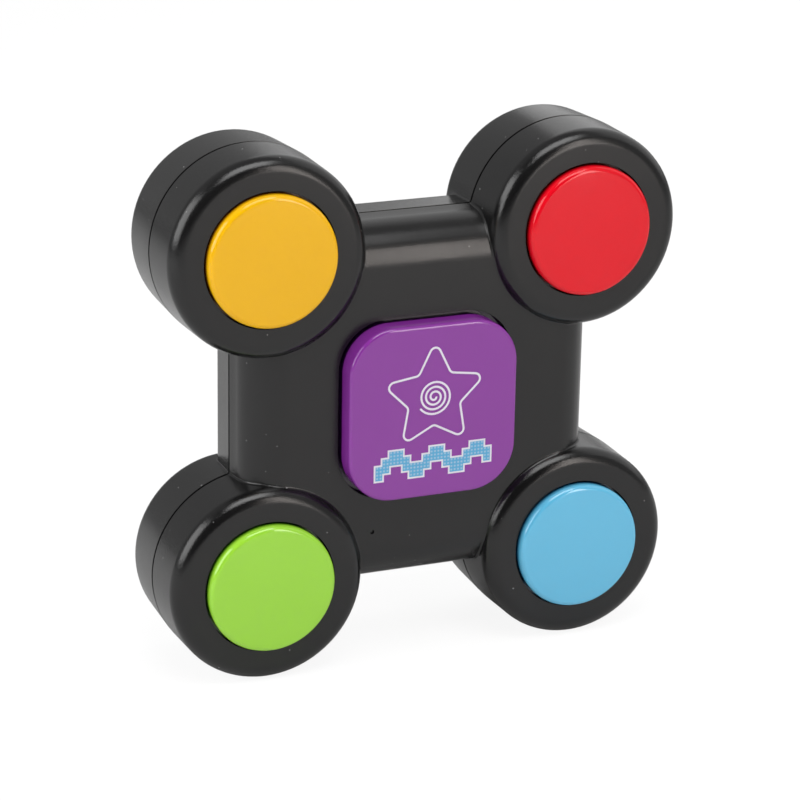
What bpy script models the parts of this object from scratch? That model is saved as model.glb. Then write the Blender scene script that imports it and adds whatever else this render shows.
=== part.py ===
"""Handheld electronic game: four lit buttons on the pods of a black case, with a start button between them.

The game stands upright on its two lower pods. World axes, in metres: +X to the right, +Y to the back,
+Z up, with the origin on the ground under the middle of the game.

Every piece is drawn as if the game lay on its back: x to the right, y up the face, and z the height above
the parting plane, in which the front and the rear shell meet. The empty "stand" then sets it upright.
"""

import math

import bmesh
import bpy
from mathutils import Vector

# The case, measured at its parting plane and from it

POD_RIM = 0.0081
POD_SPACING = 0.006364
POD_FRONT_RISE = 0.0023
POD_REAR_RISE = 0.00405
POD_FRONT_DRAFT = 0.00025
POD_REAR_DRAFT = 0.0005
POD_FRONT_FILLET = 0.00335
POD_REAR_FILLET = 0.0034
BODY_OVERHANG = 0.0047
BODY_FRONT_REACH = 0.01225
BODY_REAR_REACH = 0.01265
BODY_FRONT_DRAFT = 0.00045
BODY_REAR_DRAFT = 0.0004
BODY_FRONT_FILLET = 0.0093
BODY_REAR_FILLET = 0.00475
WALL = 0.0020
PARTING_GAP = 0.0003
TONGUE_WALL = 0.0007
TONGUE_HEIGHT = 0.0014

# Fits that every piece shares

SEAT_GAP = 0.0003
OVERRUN = 0.0010
ROOT_DEPTH = 0.0005
WELD = 0.000001

# Round caps of the four coloured buttons

CAP_RADIUS = 0.0150
CAP_PROUD = 0.0021
CAP_CROWN = 0.0003
CAP_EDGE_ROUND = 0.0019
CAP_WALL = 0.0018
CAP_GAP = 0.00045
OPENING_CHAMFER = 0.0003
FLANGE_REACH = 0.0016
FLANGE_THICKNESS = 0.0012
FLANGE_PLAY = 0.0005
BUTTON_TRAVEL = 0.0018
COLLAR_WALL = 0.0012
COLLAR_LENGTH = 0.0040

# Square cap of the start button

START_HALF_WIDTH = 0.0203
START_CORNER = 0.0107
START_PROUD = 0.00485
START_EDGE_ROUND = 0.0011
START_WALL = 0.0018

# Circuit board with its silicone domes, lamps and sound chip

BOARD_THICKNESS = 0.0016
BOARD_BAY_GAP = 0.00065
BOARD_SCREW_GAP = 0.00215
BOARD_SCREW_EDGE = 0.0004
BOARD_BOSS_RADIUS = 0.0026
DOME_BORE_RADIUS = 0.0032
DOME_TOP_WIDTH = 0.0026
DOME_SKIRT_FLARE = 0.0022
DOME_BASE_WIDTH = 0.0012
DOME_BASE_THICKNESS = 0.0008
DOME_HEIGHT = 0.0048
DOME_SKIN = 0.0008
DOME_TOP_THICKNESS = 0.0012
PLUNGER_WALL = 0.0020
LAMP_RADIUS = 0.0015
LAMP_FLANGE_RADIUS = 0.0019
LAMP_FLANGE_THICKNESS = 0.0010
LAMP_HEIGHT = 0.0053
CHIP_RADIUS = 0.0042
CHIP_THICKNESS = 0.0014
CHIP_GAP = 0.0026
CHIP_SCREW_GAP = 0.0009

# Loudspeaker behind its grille

SPEAKER_BAY_GAP = 0.0008
SPEAKER_WALL_GAP = 0.0029
SPEAKER_FLANGE_WIDTH = 0.0020
SPEAKER_FLANGE_THICKNESS = 0.0010
SPEAKER_NECK_WIDTH = 0.0010
SPEAKER_DEPTH = 0.0036
SPEAKER_SHEET = 0.0006
MAGNET_RADIUS = 0.0070
MAGNET_THICKNESS = 0.0028
CONE_GAP = 0.0009
CONE_SHEET = 0.0003
CONE_DEPTH = 0.0016
CONE_CAP_RADIUS = 0.0040
CONE_CAP_BULGE = 0.0007
SPEAKER_RING_WALL = 0.0012
SPEAKER_RING_HEIGHT = 0.0030
GRILLE_INSET = 0.0050
GRILLE_SLOT_WIDTH = 0.0014
GRILLE_PITCH = 0.0032

# Battery bay for two cells of the AAA size, and its cover

CELL_RADIUS = 0.00525
CELL_LENGTH = 0.0445
CELL_NUB_RADIUS = 0.0019
CELL_NUB_LENGTH = 0.0012
CELL_SHOULDER = 0.0006
BAY_DROP = 0.0045
BAY_END_ROOM = 0.0030
BAY_SIDE_PLAY = 0.00035
BAY_WALL = 0.0012
CONTACT_THICKNESS = 0.0004
CONTACT_HALF_WIDTH = 0.0042
CONTACT_HALF_HEIGHT = 0.00425
DIMPLE_RADIUS = 0.0017
DIMPLE_SLOPE = 0.0005
DIMPLE_HEIGHT = 0.00035
LUG_WIDTH = 0.0024
LUG_LENGTH = 0.0034
LUG_DROP = 0.00055
SPRING_WIRE_RADIUS = 0.0003
SPRING_BASE_RADIUS = 0.0034
SPRING_TIP_RADIUS = 0.0020
SPRING_LEG = 0.0006
SPRING_TURNS = 3
COVER_THICKNESS = 0.0020
COVER_LEDGE = 0.0016
COVER_CORNER = 0.0030
COVER_EAR_RADIUS = 0.0042
GRIP_RIB_HALF_LENGTH = 0.0070
GRIP_RIB_RADIUS = 0.0005
GRIP_RIB_PITCH = 0.0022
GRIP_RIBS = 4

# Screws, the bosses that they turn into, and the posts and ribs beside them

SCREW_RADIUS = 0.00125
SCREW_HEAD_RADIUS = 0.0024
SCREW_HEAD_THICKNESS = 0.0015
CASE_SCREW_INSET = 0.0005
CASE_SCREW_LENGTH = 0.0104
CASE_WELL_WALL = 0.0008
CASE_WEB = 0.0028
CASE_BOSS_RADIUS = 0.0026
BOARD_SCREW_LENGTH = 0.0060
COVER_SCREW_LENGTH = 0.0075
COVER_SCREW_CONE = 0.0012
COVER_BOSS_RADIUS = 0.0032
COVER_BOSS_LENGTH = 0.0072
COVER_BOSS_GAP = 0.00065
POST_BORE = 0.0016
POST_WALL = 0.0012
RIB_THICKNESS = 0.0012
REAR_RIB_SIDE = 0.0120
REAR_RIB_HEIGHT = 0.0050

# Leads

LEAD_RADIUS = 0.0006
LEAD_SWING = 0.0050
CELL_LEAD_SIDE = 0.00165
CELL_LEAD_RUN = 0.0103
SPEAKER_LEAD_FOOT = 0.0015
SPEAKER_LEAD_SIDE = 0.0025
SPEAKER_LEAD_RUN = 0.0026
LEAD_ENTRY = 0.0025

# Numbers of facets

POD_SIDES = 32
POD_SPACE_SIDES = 20
CAP_SIDES = 24
COLLAR_SIDES = 20
BORE_SIDES = 8
DOME_SIDES = 10
SPEAKER_SIDES = 16
CELL_SIDES = 12
WIRE_SIDES = 4
FILLET_STEPS = 3
BODY_FILLET_STEPS = 5
CORNER_STEPS = 4
SPRING_STEPS = 6
LEAD_STEPS = 6

# Places worked out from the sizes above

START_DIAGONAL = math.sqrt(2) * (START_HALF_WIDTH - START_CORNER) + START_CORNER
POD_RADIUS = CAP_RADIUS + POD_RIM
POD_PITCH = math.sqrt(2) * (START_DIAGONAL + POD_SPACING + POD_RADIUS)
POD_CENTRES = [(side * POD_PITCH / 2, level * POD_PITCH / 2) for level in (1, -1) for side in (-1, 1)]
POD_FRONT_REACH = BODY_FRONT_REACH + POD_FRONT_RISE
POD_REAR_REACH = BODY_REAR_REACH + POD_REAR_RISE
BODY_HALF_WIDTH = POD_PITCH / 2 + BODY_OVERHANG
BODY_CEILING = BODY_FRONT_REACH - WALL
POD_CEILING = POD_FRONT_REACH - WALL
BODY_FLOOR = WALL - BODY_REAR_REACH
POD_FLOOR = WALL - POD_REAR_REACH
EDGE = PARTING_GAP / 2
CAP_TOP = POD_FRONT_REACH + CAP_PROUD
CAP_FLANGE_TOP = POD_CEILING - SEAT_GAP
CAP_BORE = CAP_RADIUS + FLANGE_REACH + FLANGE_PLAY
START_TOP = BODY_FRONT_REACH + START_PROUD
START_FLANGE_TOP = BODY_CEILING - SEAT_GAP
START_COLLAR_LOW = BODY_CEILING - COLLAR_LENGTH
START_COLLAR_REACH = FLANGE_REACH + FLANGE_PLAY + COLLAR_WALL
CELL_PITCH = 2 * CELL_RADIUS + SEAT_GAP
BAY_CENTRE = -BAY_DROP
BAY_HALF_LENGTH = CELL_LENGTH / 2 + BAY_END_ROOM
BAY_HALF_HEIGHT = CELL_PITCH / 2 + CELL_RADIUS + BAY_SIDE_PLAY
COVER_INSIDE = COVER_THICKNESS - BODY_REAR_REACH
COVER_SCREW_SIDE = BAY_HALF_LENGTH + BAY_WALL + COVER_BOSS_GAP + COVER_BOSS_RADIUS
COVER_EAR_REACH = COVER_SCREW_SIDE + COVER_EAR_RADIUS
LEDGE = COVER_INSIDE + SEAT_GAP
CELL_HEIGHT = LEDGE + CELL_RADIUS
BAY_CEILING = CELL_HEIGHT + CELL_RADIUS + SEAT_GAP
LUG_HEIGHT = CELL_HEIGHT + CONTACT_HALF_HEIGHT - LUG_DROP
SCREW_HOLE = SCREW_RADIUS + SEAT_GAP
SCREW_WELL = SCREW_HEAD_RADIUS + SEAT_GAP
CASE_SCREW_REACH = CAP_BORE - CASE_SCREW_INSET
BOARD_HEIGHT = BAY_CEILING + BAY_WALL + BOARD_BAY_GAP
BOARD_TOP = BOARD_HEIGHT + BOARD_THICKNESS
BOARD_SEAT = BOARD_TOP + SEAT_GAP
CHIP_DROP = BAY_HALF_HEIGHT - BAY_CENTRE + BAY_WALL + CHIP_GAP + CHIP_RADIUS
BOARD_SCREW_SIDE = BAY_HALF_LENGTH + BAY_WALL + BOARD_SCREW_GAP + SCREW_HEAD_RADIUS
BOARD_SCREW_RISE = CHIP_DROP + CHIP_RADIUS + CHIP_SCREW_GAP + SCREW_HEAD_RADIUS
BOARD_HALF_WIDTH = BOARD_SCREW_SIDE + BOARD_BOSS_RADIUS + BOARD_SCREW_EDGE
BOARD_HALF_HEIGHT = BOARD_SCREW_RISE + BOARD_BOSS_RADIUS + BOARD_SCREW_EDGE
BOARD_LOBE_RADIUS = CASE_SCREW_REACH - SCREW_WELL - CASE_WELL_WALL - SEAT_GAP
DOME_TOP_RADIUS = DOME_BORE_RADIUS + DOME_TOP_WIDTH
DOME_SKIRT_RADIUS = DOME_TOP_RADIUS + DOME_SKIRT_FLARE
DOME_BASE_RADIUS = DOME_SKIRT_RADIUS + DOME_BASE_WIDTH
PLUNGER_END = BOARD_SEAT + DOME_HEIGHT + SEAT_GAP
CONTACT_FACE = BAY_HALF_LENGTH - SEAT_GAP - CONTACT_THICKNESS
CELL_SHIFT = CONTACT_FACE - DIMPLE_HEIGHT - SEAT_GAP - CELL_LENGTH / 2
SPEAKER_LOW = BAY_CENTRE + BAY_HALF_HEIGHT + COVER_LEDGE + SEAT_GAP + BAY_WALL + SPEAKER_BAY_GAP
SPEAKER_HIGH = BODY_HALF_WIDTH - BODY_REAR_DRAFT - WALL - SPEAKER_WALL_GAP
SPEAKER_RISE = (SPEAKER_LOW + SPEAKER_HIGH) / 2
SPEAKER_RADIUS = (SPEAKER_HIGH - SPEAKER_LOW) / 2
SPEAKER_RIM = SPEAKER_RADIUS - SPEAKER_FLANGE_WIDTH
SPEAKER_NECK_RADIUS = MAGNET_RADIUS + SPEAKER_NECK_WIDTH
CONE_RADIUS = SPEAKER_RIM - CONE_GAP
GRILLE_RADIUS = SPEAKER_RADIUS - GRILLE_INSET
GRILLE_SIDE_SLOTS = int(GRILLE_RADIUS / GRILLE_PITCH)
SPEAKER_FOOT = BODY_FLOOR + SEAT_GAP
MAGNET_FOOT = SPEAKER_FOOT + SPEAKER_DEPTH + SEAT_GAP
CASE_SCREW_SEAT = -EDGE - CASE_WEB
BEHIND = -POD_REAR_REACH - OVERRUN
HALF_HEIGHT = POD_PITCH / 2 + POD_RADIUS
FRONT_MOST = max(CAP_TOP + CAP_CROWN, START_TOP)
PARTING_Y = (FRONT_MOST - POD_REAR_REACH) / 2


def case_screw_spots():
    """Each case screw stands in its pod on the diagonal, outside the button's guide collar."""
    out = CASE_SCREW_REACH * math.sqrt(0.5)
    return [(x + math.copysign(out, x), y + math.copysign(out, y)) for x, y in POD_CENTRES]


SIDES = ((-1, 0), (1, 0), (0, 1), (0, -1))
CASE_SCREW_SPOTS = case_screw_spots()
BOARD_SCREW_SPOTS = [(BOARD_SCREW_SIDE * x, BOARD_SCREW_RISE * y) for x, y in SIDES]
COVER_SCREW_SPOTS = [(side * COVER_SCREW_SIDE, BAY_CENTRE) for side in (-1, 1)]

# The scene starts empty, with one empty object that sets everything upright

for old in list(bpy.data.objects):
    bpy.data.objects.remove(old, do_unlink=True)

stand = bpy.data.objects.new("stand", None)
bpy.context.scene.collection.objects.link(stand)
stand.location = (0.0, PARTING_Y, HALF_HEIGHT)
stand.rotation_euler = (math.pi / 2, 0.0, 0.0)

# Materials


def finish(name, colour, roughness, metallic=0.0):
    """A plain material with the colour and gloss of one of the game's own surfaces."""
    material = bpy.data.materials.new(name)
    material.use_nodes = True
    shader = material.node_tree.nodes["Principled BSDF"]
    shader.inputs["Base Color"].default_value = (*colour, 1.0)
    shader.inputs["Roughness"].default_value = roughness
    shader.inputs["Metallic"].default_value = metallic
    return material


CASE_BLACK = finish("case_black", (0.042, 0.042, 0.042), 0.38)
CAP_YELLOW = finish("cap_yellow", (0.85, 0.48, 0.03), 0.18)
CAP_RED = finish("cap_red", (0.78, 0.04, 0.05), 0.18)
CAP_GREEN = finish("cap_green", (0.34, 0.66, 0.08), 0.18)
CAP_BLUE = finish("cap_blue", (0.16, 0.49, 0.70), 0.18)
CAP_PURPLE = finish("cap_purple", (0.26, 0.08, 0.33), 0.22)
BOARD_GREEN = finish("board_green", (0.02, 0.16, 0.07), 0.45)
SILICONE = finish("silicone", (0.75, 0.76, 0.74), 0.55)
LAMP_CLEAR = finish("lamp_clear", (0.85, 0.86, 0.84), 0.15)
RESIN_BLACK = finish("resin_black", (0.012, 0.012, 0.012), 0.25)
STEEL = finish("steel", (0.56, 0.56, 0.55), 0.32, 1.0)
MAGNET_GREY = finish("magnet_grey", (0.10, 0.10, 0.11), 0.55, 0.6)
PAPER_BLACK = finish("paper_black", (0.02, 0.02, 0.02), 0.85)
CELL_SLEEVE = finish("cell_sleeve", (0.20, 0.22, 0.24), 0.30)
LEAD_RED = finish("lead_red", (0.55, 0.02, 0.02), 0.45)
LEAD_BLACK = finish("lead_black", (0.015, 0.015, 0.015), 0.45)

# Solids, each put into a mesh that may hold several of them


def turn(mesh, profile, at=(0.0, 0.0), sides=BORE_SIDES, closed=False):
    """Spins a profile of (radius, height) points about the upright axis through at."""
    points = [mesh.verts.new((at[0] + radius, at[1], height)) for radius, height in profile]
    ends = points[1:] + points[:1] if closed else points[1:]
    edges = [mesh.edges.new(pair) for pair in zip(points, ends)]
    middle = (at[0], at[1], 0.0)
    bmesh.ops.spin(mesh, geom=points + edges, cent=middle, axis=(0.0, 0.0, 1.0), angle=math.tau, steps=sides)


def skin(mesh, loops):
    """Skins loops of as many points each, one to the next, with a face over both ends."""
    rings = [[mesh.verts.new(point) for point in loop] for loop in loops]
    for low, high in zip(rings, rings[1:]):
        for i in range(len(low)):
            j = (i + 1) % len(low)
            mesh.faces.new((low[i], low[j], high[j], high[i]))
    mesh.faces.new(rings[0])
    mesh.faces.new(rings[-1])


def slab(mesh, loop, depth):
    """Extrudes a loop straight up by a depth."""
    skin(mesh, [loop, [(x, y, z + depth) for x, y, z in loop]])


def box(mesh, low, high):
    """A plain block between two corners."""
    outline = [(low[0], low[1]), (high[0], low[1]), (high[0], high[1]), (low[0], high[1])]
    skin(mesh, [[(x, y, z) for x, y in outline] for z in (low[2], high[2])])


def cylinder(mesh, radius, low, high, at=(0.0, 0.0), sides=BORE_SIDES):
    turn(mesh, [(0.0, high), (radius, high), (radius, low), (0.0, low)], at, sides)


def tube(mesh, bore, wall, low, high, at=(0.0, 0.0), sides=BORE_SIDES):
    """A cylinder with a bore through it."""
    ring = [(bore, high), (bore + wall, high), (bore + wall, low), (bore, low)]
    turn(mesh, ring, at, sides, closed=True)


def sweep(mesh, path, radius):
    """A round wire along a path of points."""
    loops = []
    across = None
    for i, point in enumerate(path):
        along = (path[min(i + 1, len(path) - 1)] - path[max(i - 1, 0)]).normalized()
        across = across or along.orthogonal()
        across = (across - along * across.dot(along)).normalized()
        up = along.cross(across)
        turns = [math.tau * k / WIRE_SIDES for k in range(WIRE_SIDES)]
        loops.append([point + across * (radius * math.cos(a)) + up * (radius * math.sin(a)) for a in turns])
    skin(mesh, loops)


def arc(centre_r, centre_z, radius, steps):
    """Points of (radius, height) round a quarter circle, from its outermost point to its top."""
    angles = [math.radians(90 * i / steps) for i in range(steps + 1)]
    return [(centre_r + radius * math.cos(a), centre_z + radius * math.sin(a)) for a in angles]


def rounded(half_width, half_height, corner, height):
    """A rectangle with round corners, as a loop of points at one height."""
    loop = []
    for quarter, (side_x, side_y) in enumerate([(1, 1), (-1, 1), (-1, -1), (1, -1)]):
        for i in range(CORNER_STEPS + 1):
            angle = math.radians(90 * (quarter + i / CORNER_STEPS))
            x = side_x * (half_width - corner) + corner * math.cos(angle)
            y = side_y * (half_height - corner) + corner * math.sin(angle)
            loop.append((x, y, height))
    return loop


def square(half_width, height):
    """A square loop about the middle of the game."""
    corners = [(1, 1), (-1, 1), (-1, -1), (1, -1)]
    return [(x * half_width, y * half_width, height) for x, y in corners]


# Objects and how they are joined


def add(name, mesh, material=None, at=(0.0, 0.0, 0.0)):
    """Makes an object of a mesh. One with no material is a helper that only shapes other pieces."""
    bmesh.ops.remove_doubles(mesh, verts=mesh.verts, dist=WELD)
    bmesh.ops.recalc_face_normals(mesh, faces=mesh.faces)
    data = bpy.data.meshes.new(name)
    mesh.to_mesh(data)
    mesh.free()
    data.shade_smooth()
    data.set_sharp_from_angle(angle=math.radians(30))
    piece = bpy.data.objects.new(name, data)
    bpy.context.scene.collection.objects.link(piece)
    piece.parent = stand
    piece.location = at
    if material:
        data.materials.append(material)
    else:
        piece.hide_render = True
        piece.display_type = "WIRE"
    return piece


def boolean(piece, operation, *tools):
    """Joins a piece with each of the helpers in turn, or cuts it with them."""
    for tool in tools:
        modifier = piece.modifiers.new(f"{operation.lower()} {tool.name}", "BOOLEAN")
        modifier.operation = operation
        modifier.object = tool
        modifier.solver = "EXACT"


# Form of the case. Both shells follow one rule, outside and, thinned by the wall, inside: a square body
# whose edges curve over to a flat face, and on each corner a drafted pod that stands proud of that face.

FRONT_BODY = (BODY_FRONT_REACH, BODY_FRONT_DRAFT, BODY_FRONT_FILLET, 1)
FRONT_PODS = (POD_FRONT_REACH, POD_FRONT_DRAFT, POD_FRONT_FILLET, 1)
REAR_BODY = (BODY_REAR_REACH, BODY_REAR_DRAFT, BODY_REAR_FILLET, -1)
REAR_PODS = (POD_REAR_REACH, POD_REAR_DRAFT, POD_REAR_FILLET, -1)


def body_form(name, half_case, inset, start, steps, material=None):
    """The square body, from a start beyond the parting plane to its face."""
    reach, draft, fillet, facing = half_case
    fillet -= inset
    half = BODY_HALF_WIDTH - draft - inset
    bend = reach - inset - fillet
    levels = [(BODY_HALF_WIDTH - inset, start), (BODY_HALF_WIDTH - inset, EDGE)]
    levels += arc(half - fillet, bend, fillet, steps)
    mesh = bmesh.new()
    skin(mesh, [square(width, facing * height) for width, height in levels])
    return add(name, mesh, material)


def pod_forms(name, half_case, inset, start, steps, sides):
    """The four pods, from a start beyond the parting plane to their faces."""
    reach, draft, fillet, facing = half_case
    fillet -= inset
    radius = POD_RADIUS - draft - inset
    bend = reach - inset - fillet
    levels = [(0.0, start), (POD_RADIUS - inset, start), (POD_RADIUS - inset, EDGE)]
    levels += arc(radius - fillet, bend, fillet, steps)
    levels.append((0.0, reach - inset))
    mesh = bmesh.new()
    for centre in POD_CENTRES:
        turn(mesh, [(width, facing * height) for width, height in levels], centre, sides)
    return add(name, mesh)


def outer_form(name, body, pods, body_steps):
    """Body and pods in one, cut off level at the shell's own side of the parting gap."""
    shell = body_form(name, body, 0.0, -OVERRUN, body_steps, CASE_BLACK)
    below = -OVERRUN - ROOT_DEPTH
    boolean(shell, "UNION", pod_forms(f"{name}_pods", pods, 0.0, below, FILLET_STEPS, POD_SIDES))
    mesh = bmesh.new()
    facing = body[3]
    heights = sorted([facing * EDGE, facing * (below - OVERRUN)])
    box(mesh, (-POD_PITCH, -POD_PITCH, heights[0]), (POD_PITCH, POD_PITCH, heights[1]))
    boolean(shell, "DIFFERENCE", add(f"{name}_trim", mesh))
    return shell


def hollow(shell, name, body, pods, start, body_steps):
    """Cuts the space inside out of a shell, the body's part and then the pods'."""
    boolean(shell, "DIFFERENCE", body_form(f"{name}_space", body, WALL, start, body_steps))
    below = start - ROOT_DEPTH
    boolean(shell, "DIFFERENCE", pod_forms(f"{name}_pod_space", pods, WALL, below, 1, POD_SPACE_SIDES))


def outline_block(name, inset, low, high):
    """A straight block of the case's outline, drawn in by an inset, for the tongue and its rebate."""
    half = BODY_HALF_WIDTH - inset
    radius = POD_RADIUS - inset
    centre = POD_PITCH / 2
    first = math.acos((half - centre) / radius)
    steps = POD_SPACE_SIDES * 2 // 3
    loop = []
    for quarter in range(4):
        for i in range(steps + 1):
            angle = -first + (math.pi / 2 + 2 * first) * i / steps
            x = centre + radius * math.cos(angle)
            y = centre + radius * math.sin(angle)
            for _ in range(quarter):
                x, y = -y, x
            loop.append((x, y, low))
    mesh = bmesh.new()
    slab(mesh, loop, high - low)
    return add(name, mesh)


# Front shell: one moulding with the five button openings


def front_collars():
    """Collars that guide the round caps."""
    mesh = bmesh.new()
    for centre in POD_CENTRES:
        low = POD_CEILING - COLLAR_LENGTH
        tube(mesh, CAP_BORE, COLLAR_WALL, low, POD_CEILING + ROOT_DEPTH, centre, COLLAR_SIDES)
    return add("front_collars", mesh)


def front_case_bosses():
    """Bosses of the case screws. Beside the cap's flange each one backs onto its collar."""
    mesh = bmesh.new()
    for spot in CASE_SCREW_SPOTS:
        cylinder(mesh, CASE_BOSS_RADIUS, EDGE, POD_CEILING + ROOT_DEPTH, spot)
    bosses = add("front_case_bosses", mesh)
    mesh = bmesh.new()
    pressed = CAP_FLANGE_TOP - FLANGE_THICKNESS - BUTTON_TRAVEL
    for centre in POD_CENTRES:
        cylinder(mesh, CAP_BORE + COLLAR_WALL / 2, pressed - OVERRUN, POD_FRONT_REACH, centre, COLLAR_SIDES)
    boolean(bosses, "DIFFERENCE", add("front_flange_ways", mesh))
    return bosses


def front_start_collar():
    """Square collar that guides the start button."""
    mesh = bmesh.new()
    slab(mesh, start_loop(START_COLLAR_REACH, START_COLLAR_LOW), COLLAR_LENGTH + ROOT_DEPTH)
    collar = add("front_start_collar", mesh)
    mesh = bmesh.new()
    slab(mesh, start_loop(START_COLLAR_REACH - COLLAR_WALL, START_COLLAR_LOW - OVERRUN), COLLAR_LENGTH + WALL + OVERRUN)
    boolean(collar, "DIFFERENCE", add("front_start_way", mesh))
    return collar


def front_board_bosses():
    """The four bosses that hold the board."""
    mesh = bmesh.new()
    for spot in BOARD_SCREW_SPOTS:
        cylinder(mesh, BOARD_BOSS_RADIUS, BOARD_SEAT, BODY_CEILING + ROOT_DEPTH, spot)
    return add("front_board_bosses", mesh)


def front_ribs():
    """A rib from the start button's collar to each of the board's bosses."""
    mesh = bmesh.new()
    half = RIB_THICKNESS / 2
    near = START_HALF_WIDTH + START_COLLAR_REACH - ROOT_DEPTH
    for (x, y), spot in zip(SIDES, BOARD_SCREW_SPOTS):
        xs = sorted([x * near, spot[0]])
        ys = sorted([y * near, spot[1]])
        low = (xs[0] - half * abs(y), ys[0] - half * abs(x), START_COLLAR_LOW + ROOT_DEPTH)
        high = (xs[1] + half * abs(y), ys[1] + half * abs(x), BODY_CEILING + ROOT_DEPTH)
        box(mesh, low, high)
    return add("front_ribs", mesh)


def front_openings():
    """Openings of the five buttons, chamfered at the face, and the screw holes."""
    mesh = bmesh.new()
    hole = CAP_RADIUS + CAP_GAP
    flare = OPENING_CHAMFER + OVERRUN
    top = POD_FRONT_REACH + OVERRUN
    profile = [(0.0, top), (hole + flare, top), (hole, top - flare), (hole, CAP_FLANGE_TOP), (0.0, CAP_FLANGE_TOP)]
    for centre in POD_CENTRES:
        turn(mesh, profile, centre, CAP_SIDES)
    top = BODY_FRONT_REACH + OVERRUN
    levels = [(CAP_GAP, START_FLANGE_TOP), (CAP_GAP, top - flare), (CAP_GAP + flare, top)]
    skin(mesh, [start_loop(grow, height) for grow, height in levels])
    for spot in CASE_SCREW_SPOTS:
        cylinder(mesh, SCREW_HOLE, EDGE - OVERRUN, CASE_SCREW_SEAT + CASE_SCREW_LENGTH, spot)
    for spot in BOARD_SCREW_SPOTS:
        cylinder(mesh, SCREW_HOLE, BOARD_TOP - OVERRUN, BOARD_HEIGHT + BOARD_SCREW_LENGTH, spot)
    return add("front_openings", mesh)


def front_shell():
    """The front moulding: outer form, space inside, rebate for the tongue, guides and openings."""
    shell = outer_form("front_shell", FRONT_BODY, FRONT_PODS, BODY_FILLET_STEPS)
    hollow(shell, "front", FRONT_BODY, FRONT_PODS, -OVERRUN, FILLET_STEPS)
    rebate_inset = WALL - TONGUE_WALL - SEAT_GAP
    boolean(shell, "DIFFERENCE", outline_block("front_rebate", rebate_inset, -OVERRUN, TONGUE_HEIGHT + SEAT_GAP))
    boolean(shell, "UNION", front_collars(), front_case_bosses(), front_start_collar())
    boolean(shell, "UNION", front_board_bosses(), front_ribs())
    boolean(shell, "DIFFERENCE", front_openings())


# Rear shell: the moulding with the battery bay, the screw wells and the loudspeaker's seat


def cover_outline(name, grow, low, high, material=None):
    """The battery cover's plate with an ear at each end, grown for its recess and its frame."""
    half_length = BAY_HALF_LENGTH + COVER_LEDGE + grow
    half_height = BAY_HALF_HEIGHT + COVER_LEDGE + grow
    mesh = bmesh.new()
    slab(mesh, rounded(half_length, half_height, COVER_CORNER + grow, low), high - low)
    plate = add(name, mesh, material, (0.0, BAY_CENTRE, 0.0))
    mesh = bmesh.new()
    radius = COVER_EAR_RADIUS + grow
    slab(mesh, rounded(COVER_EAR_REACH + grow, radius, radius, low), high - low)
    boolean(plate, "UNION", add(f"{name}_ears", mesh, at=(0.0, BAY_CENTRE, 0.0)))
    return plate


def rear_bay():
    """Frame round the cover, walls and ceiling of the bay, cover bosses, and ribs down to the case's edge."""
    frame = cover_outline("rear_frame", SEAT_GAP + BAY_WALL, BODY_FLOOR - ROOT_DEPTH, LEDGE + BAY_WALL)
    mesh = bmesh.new()
    half_length = BAY_HALF_LENGTH + BAY_WALL
    half_height = BAY_HALF_HEIGHT + BAY_WALL
    low = (-half_length, BAY_CENTRE - half_height, LEDGE + ROOT_DEPTH)
    box(mesh, low, (half_length, BAY_CENTRE + half_height, BAY_CEILING + BAY_WALL))
    walls = add("rear_bay_walls", mesh)
    mesh = bmesh.new()
    for spot in COVER_SCREW_SPOTS:
        cylinder(mesh, COVER_BOSS_RADIUS, LEDGE + ROOT_DEPTH, LEDGE + COVER_BOSS_LENGTH, spot)
    bosses = add("rear_cover_bosses", mesh)
    mesh = bmesh.new()
    outer_end = BODY_HALF_WIDTH - BODY_REAR_DRAFT - WALL + ROOT_DEPTH
    for side in (-1, 1):
        x = side * REAR_RIB_SIDE
        low = (x - RIB_THICKNESS / 2, -outer_end, BODY_FLOOR - ROOT_DEPTH / 2)
        box(mesh, low, (x + RIB_THICKNESS / 2, BAY_CENTRE - BAY_HALF_HEIGHT, BODY_FLOOR + REAR_RIB_HEIGHT))
    boolean(frame, "UNION", walls, bosses, add("rear_ribs", mesh))
    return frame


def rear_tubes():
    """Tubes round the case screws, posts under the board, and the loudspeaker's ring."""
    mesh = bmesh.new()
    for spot in CASE_SCREW_SPOTS:
        cylinder(mesh, SCREW_WELL + CASE_WELL_WALL, POD_FLOOR - ROOT_DEPTH, -EDGE, spot)
    for centre in POD_CENTRES:
        tube(mesh, POST_BORE, POST_WALL, POD_FLOOR - ROOT_DEPTH, BOARD_HEIGHT - SEAT_GAP, centre)
    bore = SPEAKER_RADIUS + SEAT_GAP
    top = BODY_FLOOR + SPEAKER_RING_HEIGHT
    at = (0.0, SPEAKER_RISE)
    tube(mesh, bore, SPEAKER_RING_WALL, BODY_FLOOR - ROOT_DEPTH, top, at, SPEAKER_SIDES)
    return add("rear_tubes", mesh)


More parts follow.
